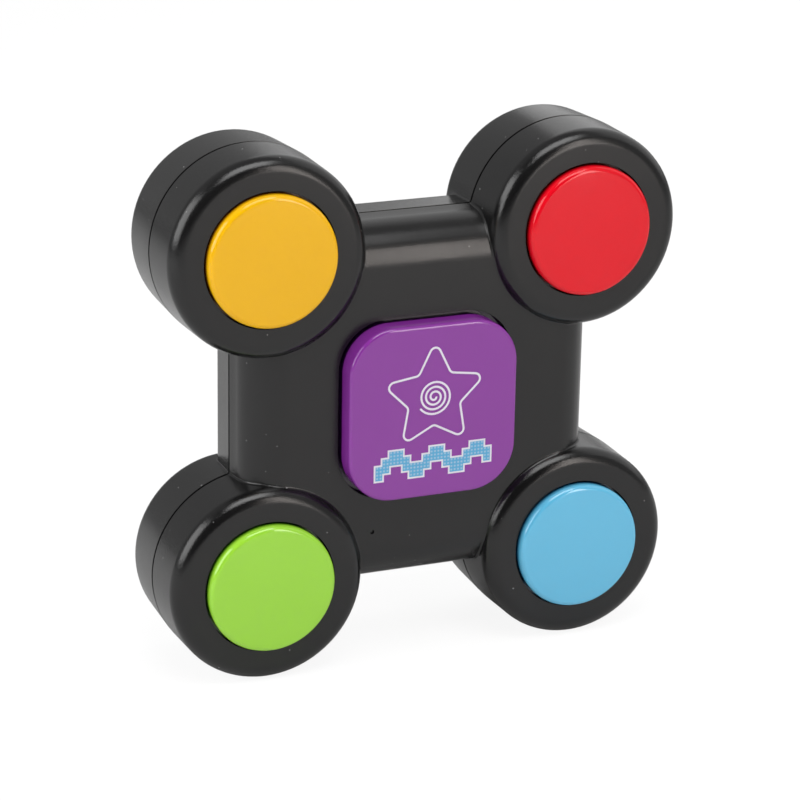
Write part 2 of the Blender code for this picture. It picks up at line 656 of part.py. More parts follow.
def rear_openings():
    """Bay, screw holes and wells, slots for the contacts' lugs, and the grille's slots inside a circle."""
    mesh = bmesh.new()
    low = (-BAY_HALF_LENGTH, BAY_CENTRE - BAY_HALF_HEIGHT, BEHIND)
    box(mesh, low, (BAY_HALF_LENGTH, BAY_CENTRE + BAY_HALF_HEIGHT, BAY_CEILING))
    for spot in COVER_SCREW_SPOTS:
        cylinder(mesh, SCREW_HOLE, BEHIND, COVER_SCREW_LENGTH - BODY_REAR_REACH + SEAT_GAP, spot)
    profile = [(0.0, OVERRUN), (SCREW_HOLE, OVERRUN), (SCREW_HOLE, CASE_SCREW_SEAT)]
    profile += [(SCREW_WELL, CASE_SCREW_SEAT), (SCREW_WELL, BEHIND), (0.0, BEHIND)]
    for spot in CASE_SCREW_SPOTS:
        turn(mesh, profile, spot)
    for i in range(-GRILLE_SIDE_SLOTS, GRILLE_SIDE_SLOTS + 1):
        y = i * GRILLE_PITCH
        half = math.sqrt(GRILLE_RADIUS**2 - y**2)
        y += SPEAKER_RISE
        low = (-half, y - GRILLE_SLOT_WIDTH / 2, BEHIND)
        box(mesh, low, (half, y + GRILLE_SLOT_WIDTH / 2, SPEAKER_FOOT))
    openings = add("rear_openings", mesh)
    mesh = bmesh.new()
    half = LUG_WIDTH / 2 + SEAT_GAP
    for level in (1, -1):
        y = BAY_CENTRE + level * CELL_PITCH / 2
        low = (CONTACT_FACE, y - half, LUG_HEIGHT - CONTACT_THICKNESS - SEAT_GAP)
        box(mesh, low, (BAY_HALF_LENGTH + BAY_WALL + OVERRUN, y + half, LUG_HEIGHT + SEAT_GAP))
    boolean(openings, "UNION", add("rear_lug_slots", mesh))
    return openings


def rear_shell():
    """The rear moulding: outer form with its tongue, space inside, bay, tubes and openings."""
    shell = outer_form("rear_shell", REAR_BODY, REAR_PODS, FILLET_STEPS)
    boolean(shell, "UNION", outline_block("rear_tongue", WALL - TONGUE_WALL, -WALL, TONGUE_HEIGHT))
    hollow(shell, "rear", REAR_BODY, REAR_PODS, -TONGUE_HEIGHT - OVERRUN, FILLET_STEPS - 1)
    boolean(shell, "UNION", rear_tubes(), rear_bay())
    recess = cover_outline("rear_recess", SEAT_GAP, BEHIND, LEDGE)
    boolean(shell, "DIFFERENCE", recess, rear_openings())


# Battery cover, flush with the back, with grip ribs across its middle


def battery_cover():
    """A plate with an ear at each end, countersunk for the captive screws."""
    low = -BODY_REAR_REACH
    cover = cover_outline("battery_cover", 0.0, low, COVER_INSIDE, CASE_BLACK)
    head = low + SEAT_GAP
    profile = [(0.0, LEDGE), (SCREW_HOLE, LEDGE), (SCREW_HOLE, head + COVER_SCREW_CONE)]
    profile += [(SCREW_WELL, head), (SCREW_WELL, BEHIND), (0.0, BEHIND)]
    mesh = bmesh.new()
    for spot in COVER_SCREW_SPOTS:
        turn(mesh, profile, spot)
    boolean(cover, "DIFFERENCE", add("cover_holes", mesh))
    section = [math.radians(angle) for angle in (0, 45, 90, 135, 180, 270)]
    mesh = bmesh.new()
    for i in range(GRIP_RIBS):
        y = BAY_CENTRE + (i - (GRIP_RIBS - 1) / 2) * GRIP_RIB_PITCH
        around = [(y + GRIP_RIB_RADIUS * math.cos(a), low - GRIP_RIB_RADIUS * math.sin(a)) for a in section]
        skin(mesh, [[(end * GRIP_RIB_HALF_LENGTH, u, v) for u, v in around] for end in (-1, 1)])
    boolean(cover, "UNION", add("cover_grip", mesh))


# Button caps: hollow mouldings with a flange that keeps them in and a ring that meets the silicone dome


def round_button(name, material, centre):
    """Round cap with a soft edge and a slightly crowned top."""
    low = CAP_FLANGE_TOP - FLANGE_THICKNESS
    ceiling = CAP_TOP - CAP_WALL
    inside = CAP_RADIUS - CAP_WALL
    ring = DOME_BORE_RADIUS + PLUNGER_WALL
    edge = arc(CAP_RADIUS - CAP_EDGE_ROUND, CAP_TOP - CAP_EDGE_ROUND, CAP_EDGE_ROUND, FILLET_STEPS)
    profile = [(0.0, CAP_TOP + CAP_CROWN)] + edge[::-1]
    profile += [(CAP_RADIUS, CAP_FLANGE_TOP), (CAP_RADIUS + FLANGE_REACH, CAP_FLANGE_TOP)]
    profile += [(CAP_RADIUS + FLANGE_REACH, low), (inside, low), (inside, ceiling)]
    profile += [(ring, ceiling), (ring, PLUNGER_END), (DOME_BORE_RADIUS, PLUNGER_END)]
    profile += [(DOME_BORE_RADIUS, ceiling), (0.0, ceiling)]
    mesh = bmesh.new()
    turn(mesh, profile, sides=CAP_SIDES)
    add(name, mesh, material, (*centre, 0.0))


def start_loop(grow, height):
    """The start button's outline, grown or drawn in."""
    half = START_HALF_WIDTH + grow
    return rounded(half, half, START_CORNER + grow, height)


def start_button():
    """Square cap with large round corners."""
    low = START_FLANGE_TOP - FLANGE_THICKNESS
    ceiling = START_TOP - START_WALL
    edge = arc(-START_EDGE_ROUND, START_TOP - START_EDGE_ROUND, START_EDGE_ROUND, FILLET_STEPS)
    mesh = bmesh.new()
    skin(mesh, [start_loop(grow, height) for grow, height in [(0.0, START_FLANGE_TOP - ROOT_DEPTH)] + edge])
    cap = add("start_button", mesh, CAP_PURPLE)
    mesh = bmesh.new()
    slab(mesh, start_loop(FLANGE_REACH, low), FLANGE_THICKNESS)
    boolean(cap, "UNION", add("start_flange", mesh))
    mesh = bmesh.new()
    slab(mesh, start_loop(-START_WALL, low - OVERRUN), ceiling - low + OVERRUN)
    boolean(cap, "DIFFERENCE", add("start_space", mesh))
    mesh = bmesh.new()
    tube(mesh, DOME_BORE_RADIUS, PLUNGER_WALL, PLUNGER_END, ceiling + ROOT_DEPTH, sides=DOME_SIDES)
    boolean(cap, "UNION", add("start_plunger", mesh))


# Circuit board and what stands on it


def main_board():
    """Board that fills the body and runs out into the four pods."""
    mesh = bmesh.new()
    far = (BOARD_HALF_WIDTH, BOARD_HALF_HEIGHT, BOARD_TOP)
    box(mesh, (-BOARD_HALF_WIDTH, -BOARD_HALF_HEIGHT, BOARD_HEIGHT), far)
    board = add("main_board", mesh, BOARD_GREEN)
    mesh = bmesh.new()
    for centre in POD_CENTRES:
        cylinder(mesh, BOARD_LOBE_RADIUS, BOARD_HEIGHT, BOARD_TOP, centre, SPEAKER_SIDES)
    boolean(board, "UNION", add("board_lobes", mesh))
    mesh = bmesh.new()
    for spot in BOARD_SCREW_SPOTS:
        cylinder(mesh, SCREW_HOLE, BOARD_HEIGHT - OVERRUN, BOARD_TOP + OVERRUN, spot)
    boolean(board, "DIFFERENCE", add("board_holes", mesh))


def dome(name, centre):
    """Silicone ring dome: its thin skirt gives way when the cap is pushed and lifts it again."""
    top = DOME_HEIGHT
    step = DOME_HEIGHT - DOME_TOP_THICKNESS
    profile = [(DOME_BORE_RADIUS, top), (DOME_TOP_RADIUS, top), (DOME_TOP_RADIUS, step)]
    profile += [(DOME_SKIRT_RADIUS, DOME_BASE_THICKNESS), (DOME_BASE_RADIUS, DOME_BASE_THICKNESS)]
    profile += [(DOME_BASE_RADIUS, 0.0), (DOME_SKIRT_RADIUS - DOME_SKIN, 0.0)]
    profile += [(DOME_TOP_RADIUS - DOME_SKIN, step), (DOME_BORE_RADIUS, step)]
    mesh = bmesh.new()
    turn(mesh, profile, sides=DOME_SIDES, closed=True)
    add(name, mesh, SILICONE, (*centre, BOARD_SEAT))


def lamp(name, centre):
    """Clear lamp with a flange and a round end, inside the ring dome."""
    end = arc(0.0, LAMP_HEIGHT - LAMP_RADIUS, LAMP_RADIUS, FILLET_STEPS)
    profile = end[::-1] + [(LAMP_RADIUS, LAMP_FLANGE_THICKNESS), (LAMP_FLANGE_RADIUS, LAMP_FLANGE_THICKNESS)]
    profile += [(LAMP_FLANGE_RADIUS, 0.0), (0.0, 0.0)]
    mesh = bmesh.new()
    turn(mesh, profile)
    add(name, mesh, LAMP_CLEAR, (*centre, BOARD_SEAT))


def sound_chip():
    """Drop of resin over the chip, on the board's rear side."""
    steps = range(FILLET_STEPS + 1)
    angles = [math.radians(90 * i / FILLET_STEPS) for i in steps]
    profile = [(0.0, 0.0)] + [(CHIP_RADIUS * math.cos(a), -CHIP_THICKNESS * math.sin(a)) for a in angles]
    mesh = bmesh.new()
    turn(mesh, profile, sides=DOME_SIDES)
    add("sound_chip", mesh, RESIN_BLACK, (0.0, -CHIP_DROP, BOARD_HEIGHT - SEAT_GAP))


# Loudspeaker, facing the grille


def speaker():
    """Pressed basket, the magnet on its back and the paper cone inside it."""
    at = (0.0, SPEAKER_RISE, SPEAKER_FOOT)
    floor = SPEAKER_DEPTH - SPEAKER_SHEET
    profile = [(0.0, SPEAKER_DEPTH), (SPEAKER_NECK_RADIUS, SPEAKER_DEPTH), (SPEAKER_RIM, SPEAKER_FLANGE_THICKNESS)]
    profile += [(SPEAKER_RADIUS, SPEAKER_FLANGE_THICKNESS), (SPEAKER_RADIUS, 0.0), (SPEAKER_RIM, 0.0)]
    profile += [(SPEAKER_NECK_RADIUS - SPEAKER_SHEET, floor), (0.0, floor)]
    mesh = bmesh.new()
    turn(mesh, profile, sides=SPEAKER_SIDES)
    add("speaker_basket", mesh, STEEL, at)
    mesh = bmesh.new()
    cylinder(mesh, MAGNET_RADIUS, 0.0, MAGNET_THICKNESS, sides=DOME_SIDES)
    add("speaker_magnet", mesh, MAGNET_GREY, (0.0, SPEAKER_RISE, MAGNET_FOOT))
    back = CONE_DEPTH + CONE_SHEET
    profile = [(0.0, back), (CONE_CAP_RADIUS, back), (CONE_RADIUS, CONE_SHEET), (CONE_RADIUS, 0.0)]
    profile += [(CONE_CAP_RADIUS, CONE_DEPTH), (0.0, CONE_DEPTH - CONE_CAP_BULGE)]
    mesh = bmesh.new()
    turn(mesh, profile, sides=SPEAKER_SIDES)
    add("speaker_cone", mesh, PAPER_BLACK, at)


# Cells and contacts. The upper cell has its positive end at the right, the lower one at the left.


def cell(name, level):
    """One AAA cell with its nub and soft shoulders."""
    end = CELL_LENGTH / 2
    shoulder = end - CELL_NUB_LENGTH
    profile = [(0.0, end), (CELL_NUB_RADIUS, end), (CELL_NUB_RADIUS, shoulder)]
    profile += [(CELL_RADIUS - CELL_SHOULDER, shoulder), (CELL_RADIUS, shoulder - CELL_SHOULDER)]
    profile += [(CELL_RADIUS, CELL_SHOULDER - end), (CELL_RADIUS - CELL_SHOULDER, -end), (0.0, -end)]
    mesh = bmesh.new()
    turn(mesh, profile, sides=CELL_SIDES)
    piece = add(name, mesh, CELL_SLEEVE, (level * CELL_SHIFT, BAY_CENTRE + level * CELL_PITCH / 2, CELL_HEIGHT))
    piece.rotation_euler = (0.0, level * math.pi / 2, 0.0)


def contact(name, side, levels, lug):
    """Plate at one end of the bay. It has a dimple for a positive end and a spring for a negative one."""
    inner = side * CONTACT_FACE
    middle = side * (CONTACT_FACE + CONTACT_THICKNESS / 2)
    outer = side * (CONTACT_FACE + CONTACT_THICKNESS)
    ys = [BAY_CENTRE + level * CELL_PITCH / 2 for level in levels]
    xs = sorted([inner, outer])
    mesh = bmesh.new()
    low = (xs[0], min(ys) - CONTACT_HALF_WIDTH, CELL_HEIGHT - CONTACT_HALF_HEIGHT)
    box(mesh, low, (xs[1], max(ys) + CONTACT_HALF_WIDTH, CELL_HEIGHT + CONTACT_HALF_HEIGHT))
    plate = add(name, mesh, STEEL)
    for level, y in zip(levels, ys):
        mesh = bmesh.new()
        if level == side:
            rings = [(middle, DIMPLE_RADIUS + DIMPLE_SLOPE), (inner - side * DIMPLE_HEIGHT, DIMPLE_RADIUS - DIMPLE_SLOPE)]
            turns = [math.tau * k / BORE_SIDES for k in range(BORE_SIDES)]
            loops = [[(x, y + r * math.cos(a), CELL_HEIGHT + r * math.sin(a)) for a in turns] for x, r in rings]
            skin(mesh, loops)
        else:
            sweep(mesh, spring_path(middle, inner, side, y), SPRING_WIRE_RADIUS)
        boolean(plate, "UNION", add(f"{name}_{'dimple' if level == side else 'spring'}", mesh))
    if lug:
        mesh = bmesh.new()
        xs = sorted([middle, side * (CONTACT_FACE + LUG_LENGTH)])
        low = (xs[0], ys[0] - LUG_WIDTH / 2, LUG_HEIGHT - CONTACT_THICKNESS)
        box(mesh, low, (xs[1], ys[0] + LUG_WIDTH / 2, LUG_HEIGHT))
        boolean(plate, "UNION", add(f"{name}_lug", mesh))


def spring_path(middle, inner, side, y):
    """A leg out of the plate, then a conical coil that narrows towards the cell."""
    tip = CELL_LENGTH / 2 - CELL_SHIFT + SEAT_GAP + SPRING_WIRE_RADIUS
    start = abs(inner) - SPRING_LEG
    count = SPRING_TURNS * SPRING_STEPS
    path = [Vector((middle, y + SPRING_BASE_RADIUS, CELL_HEIGHT))]
    for i in range(count + 1):
        along = i / count
        radius = SPRING_BASE_RADIUS + (SPRING_TIP_RADIUS - SPRING_BASE_RADIUS) * along
        angle = math.tau * i / SPRING_STEPS
        x = side * (start + (tip - start) * along)
        path.append(Vector((x, y + radius * math.cos(angle), CELL_HEIGHT + radius * math.sin(angle))))
    return path


# Leads, from the contacts' lugs and the loudspeaker's rim up to the rear side of the board


def lead(name, material, start, swing, end):
    """A lead that leaves its start along the swing and meets the board from below."""
    first = Vector(start)
    last = Vector(end)
    bends = [first, first + Vector(swing), last - Vector((0.0, 0.0, LEAD_ENTRY)), last]
    path = []
    for i in range(LEAD_STEPS + 1):
        t = i / LEAD_STEPS
        shares = [(1 - t) ** 3, 3 * t * (1 - t) ** 2, 3 * t * t * (1 - t), t**3]
        path.append(sum((share * bend for share, bend in zip(shares, bends)), Vector()))
    mesh = bmesh.new()
    sweep(mesh, path, LEAD_RADIUS)
    add(name, mesh, material)


def leads():
    """Two leads from the cells and two from the loudspeaker."""
    end_height = BOARD_HEIGHT - SEAT_GAP
    x = BAY_HALF_LENGTH + BAY_WALL + SEAT_GAP + LEAD_RADIUS
    height = LUG_HEIGHT + SEAT_GAP + LEAD_RADIUS
    for name, material, level in (("lead_cell_plus", LEAD_RED, 1), ("lead_cell_minus", LEAD_BLACK, -1)):
        y = BAY_CENTRE + level * (CELL_PITCH / 2 - LUG_WIDTH / 2)
        end = (x + CELL_LEAD_SIDE, y + level * CELL_LEAD_RUN, end_height)
        lead(name, material, (x, y, height), (0.0, level * LEAD_SWING, 0.0), end)
    y = SPEAKER_RISE - SPEAKER_RADIUS + SPEAKER_FLANGE_WIDTH / 2
    height = SPEAKER_FOOT + SPEAKER_FLANGE_THICKNESS + SEAT_GAP
    for name, material, side in (("lead_speaker_plus", LEAD_RED, 1), ("lead_speaker_minus", LEAD_BLACK, -1)):
        x = side * SPEAKER_LEAD_FOOT
        end = (x + side * SPEAKER_LEAD_SIDE, y + SPEAKER_LEAD_RUN, end_height)
        lead(name, material, (x, y, height), (0.0, 0.0, LEAD_SWING), end)


# Screws


def screw(name, spot, seat, length, cone=0.0):
    """A screw whose head bears at the seat. Its head is flat below, or tapers into the shank over a cone."""
    head = seat - (SEAT_GAP / 2 if cone else SCREW_HEAD_THICKNESS)
    profile = [(0.0, head + length), (SCREW_RADIUS, head + length), (SCREW_RADIUS, seat + cone)]
    profile += [(SCREW_HEAD_RADIUS, seat), (SCREW_HEAD_RADIUS, head), (0.0, head)]
    mesh = bmesh.new()
    turn(mesh, profile)
    add(name, mesh, STEEL, (*spot, 0.0))


def screws():
    """Four case screws from the back, four board screws, and the cover's two captive ones."""
    whole = SCREW_HEAD_THICKNESS
    for corner, spot in zip(("upper_left", "upper_right", "lower_left", "lower_right"), CASE_SCREW_SPOTS):
        screw(f"case_screw_{corner}", spot, CASE_SCREW_SEAT - SEAT_GAP, CASE_SCREW_LENGTH + whole)
    for side, spot in zip(("left", "right", "upper", "lower"), BOARD_SCREW_SPOTS):
        screw(f"board_screw_{side}", spot, BOARD_HEIGHT - SEAT_GAP, BOARD_SCREW_LENGTH + whole)
    flush = SEAT_GAP / 2 - BODY_REAR_REACH
    for side, spot in zip(("left", "right"), COVER_SCREW_SPOTS):
        screw(f"cover_screw_{side}", spot, flush, COVER_SCREW_LENGTH, COVER_SCREW_CONE)


# The whole game

front_shell()
rear_shell()
battery_cover()
for colour, material, spot in zip(
    ("yellow", "red", "green", "blue"), (CAP_YELLOW, CAP_RED, CAP_GREEN, CAP_BLUE), POD_CENTRES
):
    round_button(f"{colour}_button", material, spot)
    dome(f"dome_{colour}", spot)
    lamp(f"lamp_{colour}", spot)
start_button()
dome("dome_start", (0.0, 0.0))
main_board()
sound_chip()
speaker()
cell("cell_upper", 1)
cell("cell_lower", -1)
contact("contact_plus", 1, (1,), True)
contact("contact_minus", 1, (-1,), True)
contact("contact_bridge", -1, (1, -1), False)
leads()
screws()
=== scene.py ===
"""The looks of a handheld electronic game: a black case with four round buttons and a start button.

Every piece is drawn as if the game lay on its back: x to the right, y up the face, and z the height above
the parting plane of the case. "upright" then stands it on its two lower pods, where the CAD has it.
Lengths are in metres.
"""

import math

import bmesh
import bpy
from mathutils import Matrix, Vector


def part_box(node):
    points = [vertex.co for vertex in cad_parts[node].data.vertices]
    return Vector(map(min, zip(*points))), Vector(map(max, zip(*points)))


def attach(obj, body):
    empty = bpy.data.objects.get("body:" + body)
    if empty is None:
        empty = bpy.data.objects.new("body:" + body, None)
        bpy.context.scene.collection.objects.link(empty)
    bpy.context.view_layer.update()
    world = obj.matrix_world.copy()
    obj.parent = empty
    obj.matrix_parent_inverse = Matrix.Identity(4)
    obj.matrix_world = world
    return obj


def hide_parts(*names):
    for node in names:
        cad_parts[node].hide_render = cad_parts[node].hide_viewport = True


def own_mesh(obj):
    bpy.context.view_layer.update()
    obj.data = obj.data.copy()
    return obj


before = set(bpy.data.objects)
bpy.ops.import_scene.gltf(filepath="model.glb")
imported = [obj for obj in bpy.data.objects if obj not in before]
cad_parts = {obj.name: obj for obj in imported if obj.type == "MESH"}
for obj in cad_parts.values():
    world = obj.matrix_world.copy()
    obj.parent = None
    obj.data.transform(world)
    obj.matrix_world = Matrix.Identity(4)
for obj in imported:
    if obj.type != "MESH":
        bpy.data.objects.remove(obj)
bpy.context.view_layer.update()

# Front half of the case
# A moulding of black ABS with a fine spark-eroded grain. Its four pods run into the square body with a
# small blend, and a narrow groove parts it from the rear half. Screws from behind hold the two together.


def middle(node):
    """The middle of the box that a node fills in the CAD."""
    low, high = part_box(node)
    return low.lerp(high, 0.5)


shell_low, shell_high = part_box("front_shell")
PARTING_GAP = 0.0003
PARTING_Y = shell_high.y + PARTING_GAP / 2
EDGE = 0.00028
HALF_HEIGHT = (shell_high.z + shell_low.z) / 2
POD_CENTRE = middle("dome_red").x
POD_RADIUS = shell_high.x - POD_CENTRE
POD_FRONT_REACH = PARTING_Y - shell_low.y
POD_FRONT_RISE = 0.0023
POD_FRONT_DRAFT = 0.00025
POD_FRONT_FILLET = 0.00335
BODY_FRONT_REACH = POD_FRONT_REACH - POD_FRONT_RISE
BODY_OVERHANG = 0.0047
BODY_HALF_WIDTH = POD_CENTRE + BODY_OVERHANG
BODY_FRONT_DRAFT = 0.00045
BODY_FRONT_FILLET = 0.0093
WALL = 0.0020
LIP_ROUND = 0.00014
LIP_STEPS = 2
LIP_ANGLE = 1.0
BLEND_WIDTH = 0.00045
BLEND_STEPS = 4
VALLEY_ANGLE = math.radians(-35)
POD_SIDES = 96
SPACE_SIDES = 40
FEW_SIDES = 20
CORNER_STEPS = 12
BODY_FILLET_STEPS = 16
BODY_SPACE_STEPS = 8
POD_FILLET_STEPS = 10
POD_SPACE_STEPS = 2
OVERRUN = 0.0010
ROOT_DEPTH = 0.0005
WELD = 0.000001
SEAT_GAP = 0.0003

upright = Matrix.Translation((0.0, PARTING_Y, HALF_HEIGHT)) @ Matrix.Rotation(math.pi / 2, 4, "X")
POD_CENTRES = [(side * POD_CENTRE, level * POD_CENTRE) for level in (1, -1) for side in (-1, 1)]
FRONT_BODY = (BODY_FRONT_REACH, BODY_FRONT_DRAFT, BODY_FRONT_FILLET, 1)
FRONT_PODS = (POD_FRONT_REACH, POD_FRONT_DRAFT, POD_FRONT_FILLET, 1)


def turn(mesh, profile, at=(0.0, 0.0), sides=SPACE_SIDES, closed=False):
    """Spins a profile of (radius, height) points about the upright axis through at."""
    rings = []
    for radius, height in profile:
        angles = [math.tau * k / sides for k in range(sides if radius else 1)]
        ring = [(at[0] + radius * math.cos(a), at[1] + radius * math.sin(a), height) for a in angles]
        rings.append([mesh.verts.new(point) for point in ring])
    following = rings[1:] + rings[:1] if closed else rings[1:]
    for low, high in zip(rings, following):
        for k in range(sides):
            nearer = (k + 1) % sides
            round_face = ((low, k), (low, nearer), (high, nearer), (high, k))
            corners = list(dict.fromkeys(ring[i % len(ring)] for ring, i in round_face))
            if len(corners) > 2:
                mesh.faces.new(corners)


def skin(mesh, loops):
    """Skins loops of as many points each, one to the next, with a face over both ends."""
    rings = [[mesh.verts.new(point) for point in loop] for loop in loops]
    for low, high in zip(rings, rings[1:]):
        for i in range(len(low)):
            j = (i + 1) % len(low)
            mesh.faces.new((low[i], low[j], high[j], high[i]))
    mesh.faces.new(rings[0])
    mesh.faces.new(rings[-1])


def box(mesh, low, high):
    """A plain block between two corners."""
    outline = [(low[0], low[1]), (high[0], low[1]), (high[0], high[1]), (low[0], high[1])]
    skin(mesh, [[(x, y, z) for x, y in outline] for z in (low[2], high[2])])


def cylinder(mesh, radius, low, high, at=(0.0, 0.0), sides=SPACE_SIDES):
    turn(mesh, [(0.0, high), (radius, high), (radius, low), (0.0, low)], at, sides)


def tube(mesh, bore, wall, low, high, at=(0.0, 0.0), sides=SPACE_SIDES):
    """A cylinder with a bore through it."""
    ring = [(bore, high), (bore + wall, high), (bore + wall, low), (bore, low)]
    turn(mesh, ring, at, sides, closed=True)


def arc(centre_r, centre_z, radius, steps, first=0, last=90):
    """Points of (radius, height) round part of a circle, from its outermost point to its top."""
    angles = [math.radians(first + (last - first) * i / steps) for i in range(steps + 1)]
    return [(centre_r + radius * math.cos(a), centre_z + radius * math.sin(a)) for a in angles]


def rounded(half_width, half_height, corner, height, steps=CORNER_STEPS):
    """A rectangle with round corners, as a loop of points at one height."""
    loop = []
    for quarter, (side_x, side_y) in enumerate([(1, 1), (-1, 1), (-1, -1), (1, -1)]):
        for i in range(steps + 1):
            angle = math.radians(90 * (quarter + i / steps))
            x = side_x * (half_width - corner) + corner * math.cos(angle)
            y = side_y * (half_height - corner) + corner * math.sin(angle)
            loop.append((x, y, height))
    return loop


def square(half_width, height):
    """A square loop about the middle of the game."""
    corners = [(1, 1), (-1, 1), (-1, -1), (1, -1)]
    return [(x * half_width, y * half_width, height) for x, y in corners]


def add(name, mesh):
    """Makes an object of a mesh, with its faces outwards."""
    bmesh.ops.remove_doubles(mesh, verts=mesh.verts, dist=WELD)
    bmesh.ops.recalc_face_normals(mesh, faces=mesh.faces)
    data = bpy.data.meshes.new(name)
    mesh.to_mesh(data)
    mesh.free()
    piece = bpy.data.objects.new(name, data)
    bpy.context.scene.collection.objects.link(piece)
    return piece


def form(name, draw, *givens):
    """Makes one object of what a drawing function adds to a mesh for each set of givens."""
    mesh = bmesh.new()
    for given in givens:
        draw(mesh, *given)
    return add(name, mesh)


def at_spots(name, draw, spots, *sizes, sides=SPACE_SIDES):
    """One object of a turned form that stands at each of the spots."""
    return form(name, draw, *((*sizes, spot, sides) for spot in spots))


def settle(piece, *helpers):
    """Turns what a piece's modifiers make into its plain mesh, and removes the helpers that shaped it."""
    data = bpy.data.meshes.new_from_object(piece.evaluated_get(bpy.context.evaluated_depsgraph_get()))
    piece.modifiers.clear()
    old = piece.data
    piece.data = data
    data.name = piece.name
    bpy.data.meshes.remove(old)
    for helper in helpers:
        bpy.data.objects.remove(helper, do_unlink=True)


def boolean(piece, operation, *tools):
    """Joins a piece with each of the helpers, or cuts it with them, and removes the helpers."""
    for tool in tools:
        modifier = piece.modifiers.new(operation.lower(), "BOOLEAN")
        modifier.operation = operation
        modifier.object = tool
        modifier.solver = "EXACT"
    settle(piece, *tools)


def flank(half_case, wide, inset, start, steps):
    """Points of (half width, height) up a body or pod, from a start beyond the parting plane to its face."""
    reach, draft, fillet, facing = half_case
    fillet -= inset
    levels = [(wide - inset, start), (wide - inset, EDGE)]
    levels += arc(wide - draft - inset - fillet, reach - inset - fillet, fillet, steps)
    return [(width, facing * height) for width, height in levels]


def body_form(name, half_case, inset, start, steps):
    """The square body."""
    side = flank(half_case, BODY_HALF_WIDTH, inset, start, steps)
    return form(name, skin, ([square(*level) for level in side],))


def pod_forms(name, half_case, inset, start, steps, sides):
    """The four pods."""
    side = flank(half_case, POD_RADIUS, inset, start, steps)
    profile = [(0.0, side[0][1]), *side, (0.0, side[-1][1])]
    return at_spots(name, turn, POD_CENTRES, profile, sides=sides)


def soften(piece, wanted, width, steps):
    """Rounds the edges of a piece that wanted picks."""
    mesh = bmesh.new()
    mesh.from_mesh(piece.data)
    bmesh.ops.remove_doubles(mesh, verts=mesh.verts, dist=WELD)
    edges = [edge for edge in mesh.edges if wanted(edge)]
    bmesh.ops.bevel(
        mesh, geom=edges, offset=width, segments=steps, profile=0.5, affect="EDGES", clamp_overlap=False
    )
    mesh.to_mesh(piece.data)
    mesh.free()


def is_valley(edge):
    """Whether a pod meets the body in this edge."""
    return edge.calc_face_angle_signed(0.0) < VALLEY_ANGLE


def is_lip(edge):
    """Whether this edge runs round a half of the case, at the parting gap."""
    at_gap = all(abs(abs(end.co.z) - EDGE) < WELD for end in edge.verts)
    return at_gap and edge.calc_face_angle_signed(0.0) > LIP_ANGLE


def outer_form(name, body, pods):
    """Body and pods in one, blended, and cut off level at the shell's own side of the parting gap."""
    shell = body_form(name, body, 0.0, -OVERRUN, BODY_FILLET_STEPS)
    below = -OVERRUN - ROOT_DEPTH
    boolean(shell, "UNION", pod_forms(f"{name}_pods", pods, 0.0, below, POD_FILLET_STEPS, POD_SIDES))
    soften(shell, is_valley, BLEND_WIDTH, BLEND_STEPS)
    facing = body[3]
    low, high = sorted([facing * EDGE, facing * (below - OVERRUN)])
    wide = POD_CENTRE + POD_RADIUS + OVERRUN
    boolean(shell, "DIFFERENCE", form(f"{name}_trim", box, ((-wide, -wide, low), (wide, wide, high))))
    soften(shell, is_lip, LIP_ROUND, LIP_STEPS)
    return shell


def hollow(shell, name, body, pods, start):
    """Cuts the space inside out of a shell, the body's part and then the pods'."""
    boolean(shell, "DIFFERENCE", body_form(f"{name}_space", body, WALL, start, BODY_SPACE_STEPS))
    below = start - ROOT_DEPTH
    spaces = pod_forms(f"{name}_pod_space", pods, WALL, below, POD_SPACE_STEPS, SPACE_SIDES)
    boolean(shell, "DIFFERENCE", spaces)


def outline_block(name, inset, low, high):
    """A straight block of the case's outline, drawn in by an inset, for the tongue and its rebate."""
    half = BODY_HALF_WIDTH - inset
    radius = POD_RADIUS - inset
    first = math.acos((half - POD_CENTRE) / radius)
    loop = []
    for quarter in range(4):
        for i in range(SPACE_SIDES + 1):
            angle = -first + (math.pi / 2 + 2 * first) * i / SPACE_SIDES
            x = POD_CENTRE + radius * math.cos(angle)
            y = POD_CENTRE + radius * math.sin(angle)
            for _ in range(quarter):
                x, y = -y, x
            loop.append((x, y))
    return form(name, skin, ([[(x, y, z) for x, y in loop] for z in (low, high)],))


CAP_RADIUS = 0.0150
CAP_GAP = 0.00045
CAP_FLANGE_TOP = POD_FRONT_REACH - WALL - SEAT_GAP
FLANGE_REACH = 0.0016
FLANGE_THICKNESS = 0.0012
FLANGE_PLAY = 0.0005
BUTTON_TRAVEL = 0.0018
CAP_BORE = CAP_RADIUS + FLANGE_REACH + FLANGE_PLAY
COLLAR_WALL = 0.0012
COLLAR_LENGTH = 0.0040
OPENING_CHAMFER = 0.0003
OPENING_STEPS = 3
START_HALF_WIDTH = 0.0203
START_CORNER = 0.0107
START_GAP = 0.0009
OPENING_ROUND = 0.00005
START_COLLAR_REACH = FLANGE_REACH + FLANGE_PLAY + COLLAR_WALL
TONGUE_WALL = 0.0007
TONGUE_HEIGHT = 0.0014
CASE_SCREW_INSET = 0.0005
CASE_SCREW_OUT = (CAP_BORE - CASE_SCREW_INSET) * math.sqrt(0.5)
CASE_BOSS_RADIUS = 0.0026
CASE_SCREW_LENGTH = 0.0104
CASE_WEB = 0.0028
BOARD_SCREW_REACH = middle("board_screw_right").x
BOARD_SEAT = PARTING_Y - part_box("dome_start")[1].y
BOARD_BOSS_RADIUS = 0.0026
BOARD_SCREW_DEPTH = 0.0041
SCREW_RADIUS = 0.00125
SCREW_HEAD_RADIUS = 0.0024
SCREW_HEAD_THICKNESS = 0.0015
SCREW_HOLE = SCREW_RADIUS + SEAT_GAP
SCREW_WELL = SCREW_HEAD_RADIUS + SEAT_GAP
